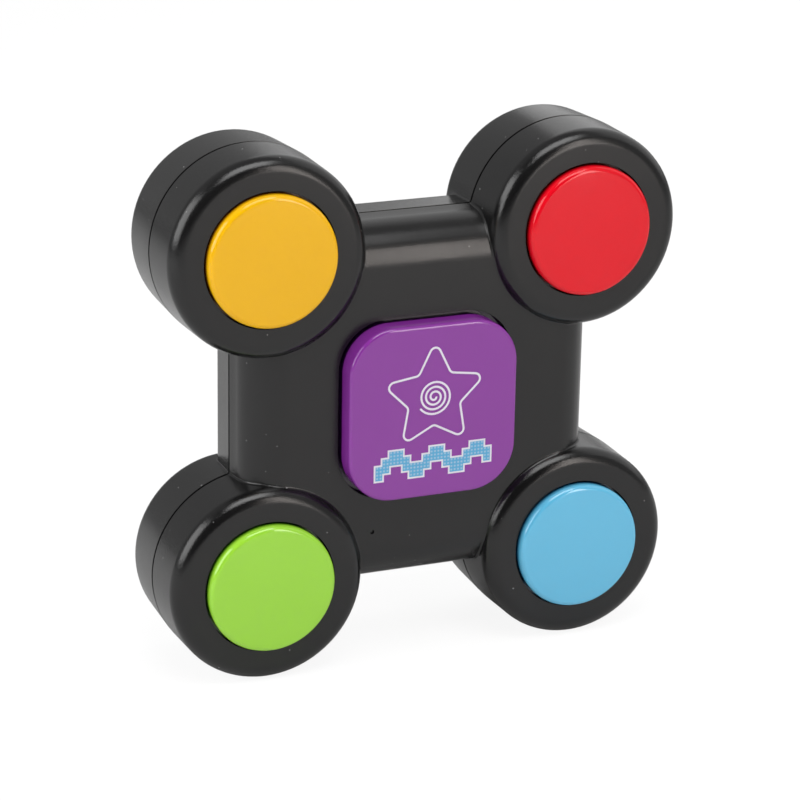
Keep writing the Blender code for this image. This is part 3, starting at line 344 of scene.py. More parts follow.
RIB_THICKNESS = 0.0012
GATE_MARK = (-0.0126, -0.0291)
GATE_MARK_RADIUS = 0.0007
GATE_MARK_DEPTH = 0.0005
BODY_CEILING = BODY_FRONT_REACH - WALL
START_FLANGE_TOP = BODY_CEILING - SEAT_GAP
POD_CEILING = POD_FRONT_REACH - WALL
SIDES = ((-1, 0), (1, 0), (0, 1), (0, -1))
CASE_SCREW_SPOTS = [
    tuple(part + math.copysign(CASE_SCREW_OUT, part) for part in centre) for centre in POD_CENTRES
]
BOARD_SCREW_SPOTS = [(BOARD_SCREW_REACH * x, BOARD_SCREW_REACH * y) for x, y in SIDES]


def start_loop(grow, height, steps=CORNER_STEPS):
    """The start button's outline, grown or drawn in."""
    half = START_HALF_WIDTH + grow
    return rounded(half, half, START_CORNER + grow, height, steps)


def start_form(name, levels, steps=CORNER_STEPS):
    """A solid of that outline, through levels of (growth, height)."""
    return form(name, skin, ([start_loop(grow, height, steps) for grow, height in levels],))


def front_guides():
    """Collars round the five caps, bosses of the case screws and of the board, and the ribs between."""
    top = POD_CEILING + ROOT_DEPTH
    collar = (CAP_BORE, COLLAR_WALL, POD_CEILING - COLLAR_LENGTH, top)
    collars = at_spots("front_collars", tube, POD_CENTRES, *collar)
    boss = (CASE_BOSS_RADIUS, EDGE, top)
    bosses = at_spots("front_case_bosses", cylinder, CASE_SCREW_SPOTS, *boss, sides=FEW_SIDES)
    pressed = CAP_FLANGE_TOP - FLANGE_THICKNESS - BUTTON_TRAVEL
    way = (CAP_BORE + COLLAR_WALL / 2, pressed - OVERRUN, POD_FRONT_REACH)
    boolean(bosses, "DIFFERENCE", at_spots("front_flange_ways", cylinder, POD_CENTRES, *way))
    low = BODY_CEILING - COLLAR_LENGTH
    top = BODY_CEILING + ROOT_DEPTH
    start_collar = start_form("front_start_collar", [(START_COLLAR_REACH, z) for z in (low, top)])
    inner = START_COLLAR_REACH - COLLAR_WALL
    start_way = start_form("front_start_way", [(inner, z) for z in (low - OVERRUN, BODY_FRONT_REACH)])
    boolean(start_collar, "DIFFERENCE", start_way)
    boss = (BOARD_BOSS_RADIUS, BOARD_SEAT, top)
    board_bosses = at_spots("front_board_bosses", cylinder, BOARD_SCREW_SPOTS, *boss, sides=FEW_SIDES)
    near = START_HALF_WIDTH + START_COLLAR_REACH - ROOT_DEPTH
    ribs = []
    for x, y in SIDES:
        xs = sorted([x * near, x * BOARD_SCREW_REACH])
        ys = sorted([y * near, y * BOARD_SCREW_REACH])
        wide, tall = RIB_THICKNESS / 2 * abs(y), RIB_THICKNESS / 2 * abs(x)
        ribs.append(((xs[0] - wide, ys[0] - tall, low + ROOT_DEPTH), (xs[1] + wide, ys[1] + tall, top)))
    return collars, bosses, start_collar, board_bosses, form("front_ribs", box, *ribs)


def front_openings():
    """Openings of the five buttons with softened edges, the screw holes and the pit left by the gate."""
    mesh = bmesh.new()
    hole = CAP_RADIUS + CAP_GAP
    flare = arc(hole + OPENING_ROUND, -OPENING_ROUND, OPENING_ROUND, OPENING_STEPS, 180, 90)
    top = POD_FRONT_REACH
    profile = [(0.0, top + OVERRUN), (hole + OPENING_ROUND, top + OVERRUN)]
    profile += [(radius, top + height) for radius, height in flare[::-1]]
    profile += [(hole, CAP_FLANGE_TOP), (0.0, CAP_FLANGE_TOP)]
    for centre in POD_CENTRES:
        turn(mesh, profile, centre, POD_SIDES)
    top = BODY_FRONT_REACH
    levels = [(START_GAP, START_FLANGE_TOP)]
    levels += [(START_GAP + radius - hole, top + height) for radius, height in flare]
    levels.append((START_GAP + OPENING_ROUND, top + OVERRUN))
    skin(mesh, [start_loop(grow, height) for grow, height in levels])
    for spot in CASE_SCREW_SPOTS:
        cylinder(mesh, SCREW_HOLE, EDGE - OVERRUN, CASE_SCREW_LENGTH - CASE_WEB, spot, FEW_SIDES)
    for spot in BOARD_SCREW_SPOTS:
        cylinder(mesh, SCREW_HOLE, BOARD_SEAT - OVERRUN, BOARD_SEAT + BOARD_SCREW_DEPTH, spot, FEW_SIDES)
    low, top = top - GATE_MARK_DEPTH, top + GATE_MARK_DEPTH
    turn(mesh, [(0.0, low), (GATE_MARK_RADIUS / 2, low), (GATE_MARK_RADIUS, top), (0.0, top)], GATE_MARK)
    return add("front_openings", mesh)


GEOMETRY = ("Geometry", "NodeSocketGeometry", None)


def wire(tree, kind, **inputs):
    """Adds a node to a tree and gives its first output. An input named after a socket takes a value, or the
    output or list of outputs that feed it."""
    made = tree.nodes.new(kind)
    for key, value in inputs.items():
        if hasattr(made, key):
            setattr(made, key, value)
            continue
        wanted = {key, key.replace("_", " ")}
        socket = next(s for s in made.inputs if s.enabled and wanted & {s.name, s.identifier})
        for given in value if isinstance(value, list) else [value]:
            if isinstance(given, bpy.types.NodeSocket):
                tree.links.new(given, socket)
            else:
                socket.default_value = given
    return next(output for output in made.outputs if output.enabled)


def calc(tree, operation, *values):
    """The result of a sum on one or two numbers or outputs."""
    return wire(tree, "ShaderNodeMath", operation=operation, **dict(zip(("Value", "Value_001"), values)))


def ramp(tree, value, start, end, low=0.0, high=1.0, shape="LINEAR"):
    """Goes from low to high while a value goes from start to end."""
    ends = {"From_Min": start, "From_Max": end, "To_Min": low, "To_Max": high}
    return wire(tree, "ShaderNodeMapRange", interpolation_type=shape, Value=value, **ends)


def sockets(tree, inputs, outputs):
    """Gives a node group its sockets, each listed as name, kind and value."""
    for in_out, listed in (("INPUT", inputs), ("OUTPUT", outputs)):
        for name, kind, value in listed:
            socket = tree.interface.new_socket(name, in_out=in_out, socket_type=kind)
            if value is not None:
                socket.default_value = value
    given = tree.nodes.new("NodeGroupInput")
    return given.outputs, tree.nodes.new("NodeGroupOutput").inputs


def open_tree(name, numbers, *others):
    """Begins a geometry tree that is given other sockets, numbers and a material."""
    tree = bpy.data.node_groups.new(name, "GeometryNodeTree")
    inputs = [*others, *((key, "NodeSocketFloat", value) for key, value in numbers.items())]
    inputs.append(("Material", "NodeSocketMaterial", None))
    return tree, sockets(tree, inputs, [GEOMETRY])[0]


def close_tree(tree, geometry):
    """Ends a geometry tree: real meshes in place of instances, with the material that the tree is given."""
    real = wire(tree, "GeometryNodeRealizeInstances", Geometry=geometry)
    material = tree.nodes["Group Input"].outputs["Material"]
    final = wire(tree, "GeometryNodeSetMaterial", Geometry=real, Material=material)
    tree.links.new(final, tree.nodes["Group Output"].inputs["Geometry"])
    return tree


def scatter(tree, spots, piece):
    """Real copies of a piece on points."""
    placed = wire(tree, "GeometryNodeInstanceOnPoints", Points=spots, Instance=piece)
    return wire(tree, "GeometryNodeRealizeInstances", Geometry=placed)


def grow(name, tree, source=None, **values):
    """The plain mesh that a geometry tree makes, from a source object if it works on one."""
    piece = source or add(name, bmesh.new())
    modifier = piece.modifiers.new(tree.name, "NODES")
    modifier.node_group = tree
    for item in tree.interface.items_tree:
        key = item.name.replace(" ", "_")
        if item.in_out == "INPUT" and key in values:
            modifier[item.identifier] = values[key]
    settle(piece)
    return piece


LINT_GREY = (0.20, 0.20, 0.20)
LINT_SIZE = 0.20
LINT_RARITY = 0.94
GLOSS_PATCH = (0.3, 0.7)
SHARP_ANGLE = math.radians(35)


def skin_group():
    """Fine grain of the moulds, slow changes of gloss across a moulding, and sparse specks of lint."""
    tree = bpy.data.node_groups.new("moulded skin", "ShaderNodeTree")
    numbers = {"Grain Scale": 3200.0, "Patch Scale": 60.0, "Lint Scale": 900.0, "Lint Size": LINT_SIZE}
    inputs = [(name, "NodeSocketFloat", value) for name, value in numbers.items()]
    outputs = [(name, "NodeSocketFloat", None) for name in ("Grain", "Patch", "Lint")]
    given, result = sockets(tree, inputs, outputs)
    place = wire(tree, "ShaderNodeTexCoord").node.outputs["Object"]
    grain = wire(tree, "ShaderNodeTexNoise", Vector=place, Scale=given["Grain Scale"], Detail=2.0)
    patch = wire(tree, "ShaderNodeTexNoise", Vector=place, Scale=given["Patch Scale"], Detail=3.0)
    cells = wire(tree, "ShaderNodeTexVoronoi", Vector=place, Scale=given["Lint Scale"])
    chance = wire(tree, "ShaderNodeSeparateColor", Color=cells.node.outputs["Color"]).node.outputs
    near = calc(tree, "LESS_THAN", cells, calc(tree, "MULTIPLY", chance["Green"], given["Lint Size"]))
    lint = calc(tree, "MULTIPLY", near, calc(tree, "GREATER_THAN", chance["Red"], LINT_RARITY))
    for output, wanted in zip((grain, patch, lint), outputs):
        tree.links.new(output, result[wanted[0]])
    return tree


MOULDED_SKIN = skin_group()


def tint(tree, share, colour):
    """Mixes a share of a colour into the base colour of a surface."""
    base = tree.nodes["Principled BSDF"].inputs["Base Color"]
    plain = base.links[0].from_socket if base.links else tuple(base.default_value)
    mixed = wire(tree, "ShaderNodeMix", data_type="RGBA", Factor=share, A=plain, B=(*colour, 1.0))
    tree.links.new(mixed, base)


def surface(name, colour, shade, roughness, grain, metallic=0.0, specular=0.5, lint=LINT_SIZE):
    """A surface whose colour shifts slightly to a shade, whose gloss wanders between two roughnesses, and
    whose grain is a fine bump."""
    material = bpy.data.materials.new(name)
    material.use_nodes = True
    tree = material.node_tree
    shader = tree.nodes["Principled BSDF"].inputs
    group = tree.nodes.new("ShaderNodeGroup")
    group.node_tree = MOULDED_SKIN
    group.inputs["Lint Size"].default_value = lint
    given = group.outputs
    shader["Base Color"].default_value = (*colour, 1.0)
    tint(tree, given["Patch"], shade)
    tint(tree, given["Lint"], LINT_GREY)
    bump = wire(tree, "ShaderNodeBump", Height=given["Grain"], Strength=1.0, Distance=grain)
    tree.links.new(ramp(tree, given["Patch"], *GLOSS_PATCH, *roughness), shader["Roughness"])
    tree.links.new(bump, shader["Normal"])
    shader["Metallic"].default_value = metallic
    shader["Specular IOR Level"].default_value = specular
    return material


def even_shading(data):
    """Shades each corner by the faces round it in step with their areas, so that flat faces stay flat."""
    mesh = bmesh.new()
    mesh.from_mesh(data)
    order = {corner: i for i, corner in enumerate(corner for face in mesh.faces for corner in face.loops)}
    weighted = {face: face.normal * face.calc_area() for face in mesh.faces}
    normals = [None] * len(order)
    for vertex in mesh.verts:
        waiting = list(vertex.link_loops)
        while waiting:
            group = [waiting.pop()]
            for corner in group:
                soft = {edge for edge in (corner.edge, corner.link_loop_prev.edge) if edge.smooth}
                joined = [other for other in waiting if soft & {other.edge, other.link_loop_prev.edge}]
                group += joined
                waiting = [other for other in waiting if other not in joined]
            total = sum((weighted[corner.face] for corner in group), Vector()).normalized()
            for corner in group:
                normals[order[corner]] = total
    mesh.free()
    stored = data.attributes.new("custom_normal", "FLOAT_VECTOR", "CORNER").data
    stored.foreach_set("vector", [part for normal in normals for part in normal])
    data.update()


def paint_flank_shade(material, colour, low, high):
    """Paints shade down a cap's flank. The colour runs darker from one height above the parting plane down to
    another, standing in for the shadow in the gap round the cap and the black case that the flank reflects."""
    tree = material.node_tree
    place = wire(tree, "ShaderNodeTexCoord").node.outputs["Object"]
    depth = wire(tree, "ShaderNodeSeparateXYZ", Vector=place).node.outputs["Y"]
    tint(tree, ramp(tree, depth, PARTING_Y - high, PARTING_Y - low, shape="SMOOTHSTEP"), colour)


def paint_opening_shade(piece, inner):
    """Gives the faces of the case that lie inside a button's opening a matt surface whose darker colour is
    painted shade for the dark inside the openings.
    """
    piece.data.materials.append(inner)
    start = START_HALF_WIDTH + START_GAP + OPENING_ROUND
    cap = CAP_RADIUS + CAP_GAP + OPENING_ROUND
    for face in piece.data.polygons:
        place = upright.inverted() @ face.center
        in_start = max(abs(place.x), abs(place.y)) < start and place.z < BODY_FRONT_REACH - WELD
        from_cap = min(math.dist(place.xy, centre) for centre in POD_CENTRES)
        in_cap = from_cap < cap and place.z < POD_FRONT_REACH - WELD
        if place.z > 0 and (in_start or in_cap):
            face.material_index = 1


def mount(piece, body, material, slot, *nodes):
    """Stands a finished piece upright, gives it its material, smooths its curves, hides the CAD nodes that it
    takes the place of, and hangs it on the body that it rides on.
    """
    piece.data.transform(upright)
    piece.data.materials.clear()
    piece.data.materials.append(material)
    piece.data.shade_smooth()
    piece.data.set_sharp_from_angle(angle=SHARP_ANGLE)
    even_shading(piece.data)
    if nodes:
        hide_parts(*nodes)
    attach(piece, body)


front_case = outer_form("front_case", FRONT_BODY, FRONT_PODS)
hollow(front_case, "front", FRONT_BODY, FRONT_PODS, -OVERRUN)
rebate = WALL - TONGUE_WALL - SEAT_GAP
boolean(front_case, "DIFFERENCE", outline_block("front_rebate", rebate, -OVERRUN, TONGUE_HEIGHT + SEAT_GAP))
boolean(front_case, "UNION", *front_guides())
boolean(front_case, "DIFFERENCE", front_openings())
black, shade = (0.0055, 0.0055, 0.0058), (0.0078, 0.0075, 0.0076)
CASE_PLASTIC = surface("case_plastic", black, shade, roughness=(0.17, 0.23), grain=0.000028)
# Inside the button openings the case is matt, and its colour is darker than the face's as painted shade.
black, shade = (0.0025, 0.0025, 0.0026), (0.0035, 0.0034, 0.0035)
OPENING_MATT_PAINTED_SHADE = surface("inner_plastic", black, shade, roughness=(0.55, 0.7), grain=0.00002, specular=0.15)
mount(front_case, "case", CASE_PLASTIC, "case_black", "front_shell")
# Painted shade: the faces inside the button openings take the darker matt surface.
paint_opening_shade(front_case, OPENING_MATT_PAINTED_SHADE)

# Rear half of the case
# A second moulding of the same ABS, whose tongue fills the front half's rebate. It carries the battery bay,
# the loudspeaker behind a slotted grille, and deep wells for the four case screws.

POD_REAR_RISE = 0.00405
POD_REAR_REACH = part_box("rear_shell")[1].y - PARTING_Y
POD_REAR_DRAFT = 0.0005
POD_REAR_FILLET = 0.0034
BODY_REAR_REACH = POD_REAR_REACH - POD_REAR_RISE
BODY_REAR_DRAFT = 0.0004
BODY_REAR_FILLET = 0.00475
REAR_BODY = (BODY_REAR_REACH, BODY_REAR_DRAFT, BODY_REAR_FILLET, -1)
REAR_PODS = (POD_REAR_REACH, POD_REAR_DRAFT, POD_REAR_FILLET, -1)
BODY_FLOOR = WALL - BODY_REAR_REACH
POD_FLOOR = WALL - POD_REAR_REACH
BEHIND = -POD_REAR_REACH - OVERRUN
BAY_CENTRE = -0.0045
BAY_HALF_LENGTH = 0.02525
BAY_HALF_HEIGHT = 0.0110
BAY_WALL = 0.0012
COVER_THICKNESS = 0.0020
COVER_LEDGE = 0.0016
COVER_CORNER = 0.0030
COVER_SCREW_SIDE = middle("cover_screw_right").x
COVER_SCREW_SPOTS = [(side * COVER_SCREW_SIDE, BAY_CENTRE) for side in (-1, 1)]
COVER_EAR_RADIUS = 0.0042
COVER_BOSS_RADIUS = 0.0032
COVER_BOSS_LENGTH = 0.0072
COVER_SCREW_LENGTH = 0.0075
LEDGE = COVER_THICKNESS - BODY_REAR_REACH + SEAT_GAP
CELL_RADIUS = 0.00525
CELL_HEIGHT = LEDGE + CELL_RADIUS
BAY_CEILING = CELL_HEIGHT + CELL_RADIUS + SEAT_GAP
LUG_SLOT = (0.0015, 0.0011)
LUG_HEIGHT = PARTING_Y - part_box("lead_cell_plus")[1].y - SEAT_GAP
CELL_PITCH = 2 * CELL_RADIUS + SEAT_GAP
CASE_SCREW_SEAT = -PARTING_GAP / 2 - CASE_WEB
CASE_WELL_WALL = 0.0008
POST_BORE = 0.0016
POST_WALL = 0.0012
POST_TOP = 0.0020
REAR_RIB_SIDE = 0.0120
REAR_RIB_HEIGHT = 0.0050
SPEAKER_RISE = middle("speaker_basket").z - HALF_HEIGHT
SPEAKER_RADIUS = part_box("speaker_basket")[1].x
SPEAKER_RING_WALL = 0.0012
SPEAKER_RING_HEIGHT = 0.0030
GRILLE_RADIUS = 0.0085
GRILLE_PITCH = 0.0032
GRILLE_SLOT_WIDTH = 0.0014
GRILLE_SIDE_SLOTS = 2
SLOT_SIDES = 24


def cover_outline(name, grow, low, high, edge=0.0):
    """The battery cover's plate with an ear at each end, grown for its recess and its frame."""
    half_length = BAY_HALF_LENGTH + COVER_LEDGE + grow
    half_height = BAY_HALF_HEIGHT + COVER_LEDGE + grow
    radius = COVER_EAR_RADIUS + grow
    parts = [(half_length, half_height, COVER_CORNER + grow), (COVER_SCREW_SIDE + radius, radius, radius)]
    levels = [(0.0, high)] + ([(0.0, low + edge), (edge / 3, low + edge / 3)] if edge else []) + [(edge, low)]
    pieces = []
    for number, (width, height, corner) in enumerate(parts):
        loops = [rounded(width - inset, height - inset, corner - inset, z) for inset, z in levels]
        loops = [[(x, y + BAY_CENTRE, z) for x, y, z in loop] for loop in loops]
        pieces.append(form(f"{name}_{number}", skin, (loops,)))
    plate, ears = pieces
    boolean(plate, "UNION", ears)
    plate.name = name
    return plate


def rear_bay():
    """Frame round the cover, walls and ceiling of the bay, cover bosses, and ribs down to the case's edge."""
    frame_piece = cover_outline("rear_frame", SEAT_GAP + BAY_WALL, BODY_FLOOR - ROOT_DEPTH, LEDGE + BAY_WALL)
    half_length = BAY_HALF_LENGTH + BAY_WALL
    half_height = BAY_HALF_HEIGHT + BAY_WALL
    foot = LEDGE + ROOT_DEPTH
    corner = (-half_length, BAY_CENTRE - half_height, foot)
    opposite = (half_length, BAY_CENTRE + half_height, BAY_CEILING + BAY_WALL)
    walls = form("rear_bay_walls", box, (corner, opposite))
    boss = (COVER_BOSS_RADIUS, foot, LEDGE + COVER_BOSS_LENGTH)
    bosses = at_spots("rear_cover_bosses", cylinder, COVER_SCREW_SPOTS, *boss, sides=FEW_SIDES)
    outer_end = BODY_HALF_WIDTH - BODY_REAR_DRAFT - WALL + ROOT_DEPTH
    ribs = []
    for x in (-REAR_RIB_SIDE, REAR_RIB_SIDE):
        corner = (x - RIB_THICKNESS / 2, -outer_end, BODY_FLOOR - ROOT_DEPTH / 2)
        opposite = (x + RIB_THICKNESS / 2, BAY_CENTRE - BAY_HALF_HEIGHT, BODY_FLOOR + REAR_RIB_HEIGHT)
        ribs.append((corner, opposite))
    boolean(frame_piece, "UNION", walls, bosses, form("rear_ribs", box, *ribs))
    return frame_piece


def rear_tubes():
    """Tubes round the case screws, posts under the board, and the loudspeaker's ring."""
    mesh = bmesh.new()
    for spot in CASE_SCREW_SPOTS:
        cylinder(mesh, SCREW_WELL + CASE_WELL_WALL, POD_FLOOR - ROOT_DEPTH, -EDGE, spot)
    for centre in POD_CENTRES:
        tube(mesh, POST_BORE, POST_WALL, POD_FLOOR - ROOT_DEPTH, POST_TOP, centre, FEW_SIDES)
    top = BODY_FLOOR + SPEAKER_RING_HEIGHT
    bore = SPEAKER_RADIUS + SEAT_GAP
    tube(mesh, bore, SPEAKER_RING_WALL, BODY_FLOOR - ROOT_DEPTH, top, (0.0, SPEAKER_RISE))
    return add("rear_tubes", mesh)


def row(tree, count, pitch):
    """Points a pitch apart along y, with the middle of their row at the origin."""
    span = calc(tree, "MULTIPLY", calc(tree, "SUBTRACT", count, 1.0), pitch)
    first = wire(tree, "ShaderNodeCombineXYZ", Y=calc(tree, "MULTIPLY", span, -0.5))
    step = wire(tree, "ShaderNodeCombineXYZ", Y=pitch)
    return wire(tree, "GeometryNodeMeshLine", Count=count, Start_Location=first, Offset=step)


def pull_ends(tree, geometry, reach):
    """Moves what lies left of the middle further left by a reach, and what lies right of it to the right."""
    place = wire(tree, "GeometryNodeInputPosition")
    side = calc(tree, "SIGN", wire(tree, "ShaderNodeSeparateXYZ", Vector=place))
    shift = wire(tree, "ShaderNodeCombineXYZ", X=calc(tree, "MULTIPLY", reach, side))
    return wire(tree, "GeometryNodeSetPosition", Geometry=geometry, Offset=shift)


def slot_cutter():
    """Round-ended slots that fill a circle, each as long as the circle is wide where it lies."""
    numbers = {"Radius": GRILLE_RADIUS, "Pitch": GRILLE_PITCH, "Width": GRILLE_SLOT_WIDTH, "Depth": WALL * 2}
    tree, given = open_tree("grille slots", numbers, ("Slots", "NodeSocketInt", GRILLE_SIDE_SLOTS * 2 + 1))
    line = row(tree, given["Slots"], given["Pitch"])
    place = wire(tree, "GeometryNodeInputPosition")
    level = wire(tree, "ShaderNodeSeparateXYZ", Vector=place).node.outputs["Y"]
    stored = wire(tree, "GeometryNodeStoreNamedAttribute", Geometry=line, Name="level", Value=level)
    half = calc(tree, "MULTIPLY", given["Width"], 0.5)
    plug = wire(tree, "GeometryNodeMeshCylinder", Vertices=SLOT_SIDES, Radius=half, Depth=given["Depth"])
    plugs = scatter(tree, stored, plug)
    own = wire(tree, "GeometryNodeInputNamedAttribute", data_type="FLOAT", Name="level")
    whole = calc(tree, "MULTIPLY", given["Radius"], given["Radius"])
    chord = calc(tree, "SQRT", calc(tree, "SUBTRACT", whole, calc(tree, "MULTIPLY", own, own)))
    stretched = pull_ends(tree, plugs, calc(tree, "SUBTRACT", chord, half))
    cutter = grow("grille_slots", close_tree(tree, stretched), Material=CASE_PLASTIC)
    cutter.data.transform(Matrix.Translation((0.0, SPEAKER_RISE, -BODY_REAR_REACH + WALL / 2)))
    return cutter


def rear_openings():
    """Bay, screw holes and wells, and the slots for the contacts' lugs."""
    mesh = bmesh.new()
    corner = (-BAY_HALF_LENGTH, BAY_CENTRE - BAY_HALF_HEIGHT, BEHIND)
    box(mesh, corner, (BAY_HALF_LENGTH, BAY_CENTRE + BAY_HALF_HEIGHT, BAY_CEILING))
    end = COVER_SCREW_LENGTH - BODY_REAR_REACH + SEAT_GAP
    for spot in COVER_SCREW_SPOTS:
        cylinder(mesh, SCREW_HOLE, BEHIND, end, spot, FEW_SIDES)
    profile = [(0.0, OVERRUN), (SCREW_HOLE, OVERRUN), (SCREW_HOLE, CASE_SCREW_SEAT)]
    profile += [(SCREW_WELL, CASE_SCREW_SEAT), (SCREW_WELL, OPENING_CHAMFER - POD_REAR_REACH)]
    profile += [(SCREW_WELL + OPENING_CHAMFER * 2, -OPENING_CHAMFER - POD_REAR_REACH), (0.0, BEHIND)]
    for spot in CASE_SCREW_SPOTS:
        turn(mesh, profile, spot)
    openings = add("rear_openings", mesh)
    mesh = bmesh.new()
    half, drop = LUG_SLOT
    for level in (1, -1):
        y = BAY_CENTRE + level * CELL_PITCH / 2
        corner = (BAY_HALF_LENGTH - OVERRUN, y - half, LUG_HEIGHT - drop + SEAT_GAP)
        box(mesh, corner, (BAY_HALF_LENGTH + BAY_WALL + OVERRUN, y + half, LUG_HEIGHT + SEAT_GAP))
    boolean(openings, "UNION", add("rear_lug_slots", mesh))
    return openings


rear_case = outer_form("rear_case", REAR_BODY, REAR_PODS)
boolean(rear_case, "UNION", outline_block("rear_tongue", WALL - TONGUE_WALL, -WALL, TONGUE_HEIGHT))
hollow(rear_case, "rear", REAR_BODY, REAR_PODS, -TONGUE_HEIGHT - OVERRUN)
boolean(rear_case, "UNION", rear_tubes(), rear_bay())
recess = cover_outline("rear_recess", SEAT_GAP, BEHIND, LEDGE)
boolean(rear_case, "DIFFERENCE", recess, rear_openings(), slot_cutter())
mount(rear_case, "case", CASE_PLASTIC, "case_black", "rear_shell")

# Battery cover
# A plate of the same ABS, flush with the back. Two captive countersunk screws hold it by its ears, and four
# raised ribs in its middle give the fingers a grip.

COVER_EDGE = 0.0004
COVER_SCREW_CONE = 0.0012
GRIP_RIB_HALF_LENGTH = 0.0070
GRIP_RIB_RADIUS = 0.0005
GRIP_RIB_PITCH = 0.0022
GRIP_RIBS = 4


def grip_ribs():
    """Ribs with round ends, side by side, half sunk in the plate."""
    numbers = {"Half Length": GRIP_RIB_HALF_LENGTH, "Radius": GRIP_RIB_RADIUS, "Pitch": GRIP_RIB_PITCH}
    tree, given = open_tree("grip ribs", numbers, ("Ribs", "NodeSocketInt", GRIP_RIBS))
    bead = wire(tree, "GeometryNodeMeshUVSphere", Segments=16, Rings=12, Radius=given["Radius"])
    turned = wire(tree, "GeometryNodeTransform", Geometry=bead, Rotation=(0.0, math.pi / 2, 0.0))
    rib = pull_ends(tree, turned, given["Half Length"])
    placed = scatter(tree, row(tree, given["Ribs"], given["Pitch"]), rib)
    ribs = grow("grip_ribs", close_tree(tree, placed), Material=CASE_PLASTIC)
    ribs.data.transform(Matrix.Translation((0.0, BAY_CENTRE, WELD - BODY_REAR_REACH)))
    return ribs


def countersinks():
    """Holes for the captive screws, with a cone for the head."""
    head = SEAT_GAP - BODY_REAR_REACH
    profile = [(0.0, LEDGE), (SCREW_HOLE, LEDGE), (SCREW_HOLE, head + COVER_SCREW_CONE)]
    profile += [(SCREW_WELL, head), (SCREW_WELL, BEHIND), (0.0, BEHIND)]
    return at_spots("countersinks", turn, COVER_SCREW_SPOTS, profile)


cover = cover_outline("cover", 0.0, -BODY_REAR_REACH, LEDGE - SEAT_GAP, COVER_EDGE)
boolean(cover, "DIFFERENCE", countersinks())
boolean(cover, "UNION", grip_ribs())
mount(cover, "battery_cover", CASE_PLASTIC, "case_black", "battery_cover")

# Round buttons
# Four caps of glossy tinted plastic with a slightly crowned top and a soft edge. A flange under the case's
# face keeps each one in, and a ring inside it rests on the silicone dome.

CAP_TOP = POD_FRONT_REACH + 0.0021
CAP_CROWN = 0.0003
CAP_EDGE_ROUND = 0.00125
CAP_WALL = 0.0018
CAP_SIDES = 128
CAP_EDGE_STEPS = 14
CAP_CROWN_STEPS = 6
DOME_BORE_RADIUS = 0.0032
PLUNGER_WALL = 0.0020
PLUNGER_END = 0.0093
# Painted shade: how strongly the caps' flanks are darkened towards the gap, and between which heights.
CAP_PAINTED_SHADE_SHARE = 0.3
CAP_PAINTED_SHADE_LOW = POD_FRONT_REACH - 0.0004
CAP_PAINTED_SHADE_HIGH = POD_FRONT_REACH + 0.0011
CAP_ROUGHNESS = (0.09, 0.13)
FINE_GRAIN = 0.000001
# The colour of each cap, the shade that it shifts to, and the strength of its reflections.
CAP_LOOKS = {
    "yellow": ((0.92, 0.50, 0.004), (0.88, 0.47, 0.003), 0.42),
    "red": ((0.82, 0.004, 0.016), (0.76, 0.003, 0.013), 0.42),
    "green": ((0.349, 0.742, 0.048), (0.334, 0.712, 0.042), 0.70),
    "blue": ((0.128, 0.538, 0.812), (0.118, 0.507, 0.771), 0.85),
}


def round_cap(name, centre):
    """A cap as one turned form, from the middle of its top round to the middle of its inside."""
    low = CAP_FLANGE_TOP - FLANGE_THICKNESS
    ceiling = CAP_TOP - CAP_WALL
    inside = CAP_RADIUS - CAP_WALL
    ring = DOME_BORE_RADIUS + PLUNGER_WALL
    brim = CAP_RADIUS - CAP_EDGE_ROUND
    crown = [brim * i / CAP_CROWN_STEPS for i in range(CAP_CROWN_STEPS)]
    profile = [(radius, CAP_TOP + CAP_CROWN * (1 - (radius / brim) ** 2)) for radius in crown]
    profile += arc(brim, CAP_TOP - CAP_EDGE_ROUND, CAP_EDGE_ROUND, CAP_EDGE_STEPS)[::-1]
    profile += [(CAP_RADIUS, CAP_FLANGE_TOP), (CAP_RADIUS + FLANGE_REACH, CAP_FLANGE_TOP)]
    profile += [(CAP_RADIUS + FLANGE_REACH, low), (inside, low), (inside, ceiling), (ring, ceiling)]
    profile += [(ring, PLUNGER_END), (DOME_BORE_RADIUS, PLUNGER_END)]
    profile += [(DOME_BORE_RADIUS, ceiling), (0.0, ceiling)]
    return form(name, turn, (profile, centre, CAP_SIDES))


for (name, (colour, shade, gloss)), centre in zip(CAP_LOOKS.items(), POD_CENTRES):
    cap = round_cap(f"{name}_cap", centre)
    tinted = surface(f"{name}_plastic", colour, shade, CAP_ROUGHNESS, FINE_GRAIN, specular=gloss, lint=0.0)
    # Painted shade: each cap's flank runs to a darker colour towards its foot, where the gap is in shadow.
    paint_flank_shade(tinted, [CAP_PAINTED_SHADE_SHARE * part**2 for part in shade], CAP_PAINTED_SHADE_LOW, CAP_PAINTED_SHADE_HIGH)
    mount(cap, f"{name}_button", tinted, f"cap_{name}", f"{name}_button")

# Start button
# A square cap with large round corners, of purple plastic, printed in white and light blue.

START_TOP = BODY_FRONT_REACH + 0.00485
START_EDGE_ROUND = 0.0008
# Painted shade: the start button's flank darkens up to this height above the case's face, and to this colour.
START_PAINTED_SHADE_RISE = 0.0003
START_WALL = 0.0018
START_CORNER_STEPS = 28
START_EDGE_STEPS = 10
START_PURPLE = (0.256, 0.034, 0.345)
START_SHADE = (0.238, 0.030, 0.322)
START_PAINTED_SHADE_COLOUR = (0.03, 0.002, 0.05)
START_ROUGHNESS = (0.10, 0.14)
START_GLOSS = 0.7
PRINT_HEIGHT = 0.00003
START_FACE = START_TOP - PRINT_HEIGHT


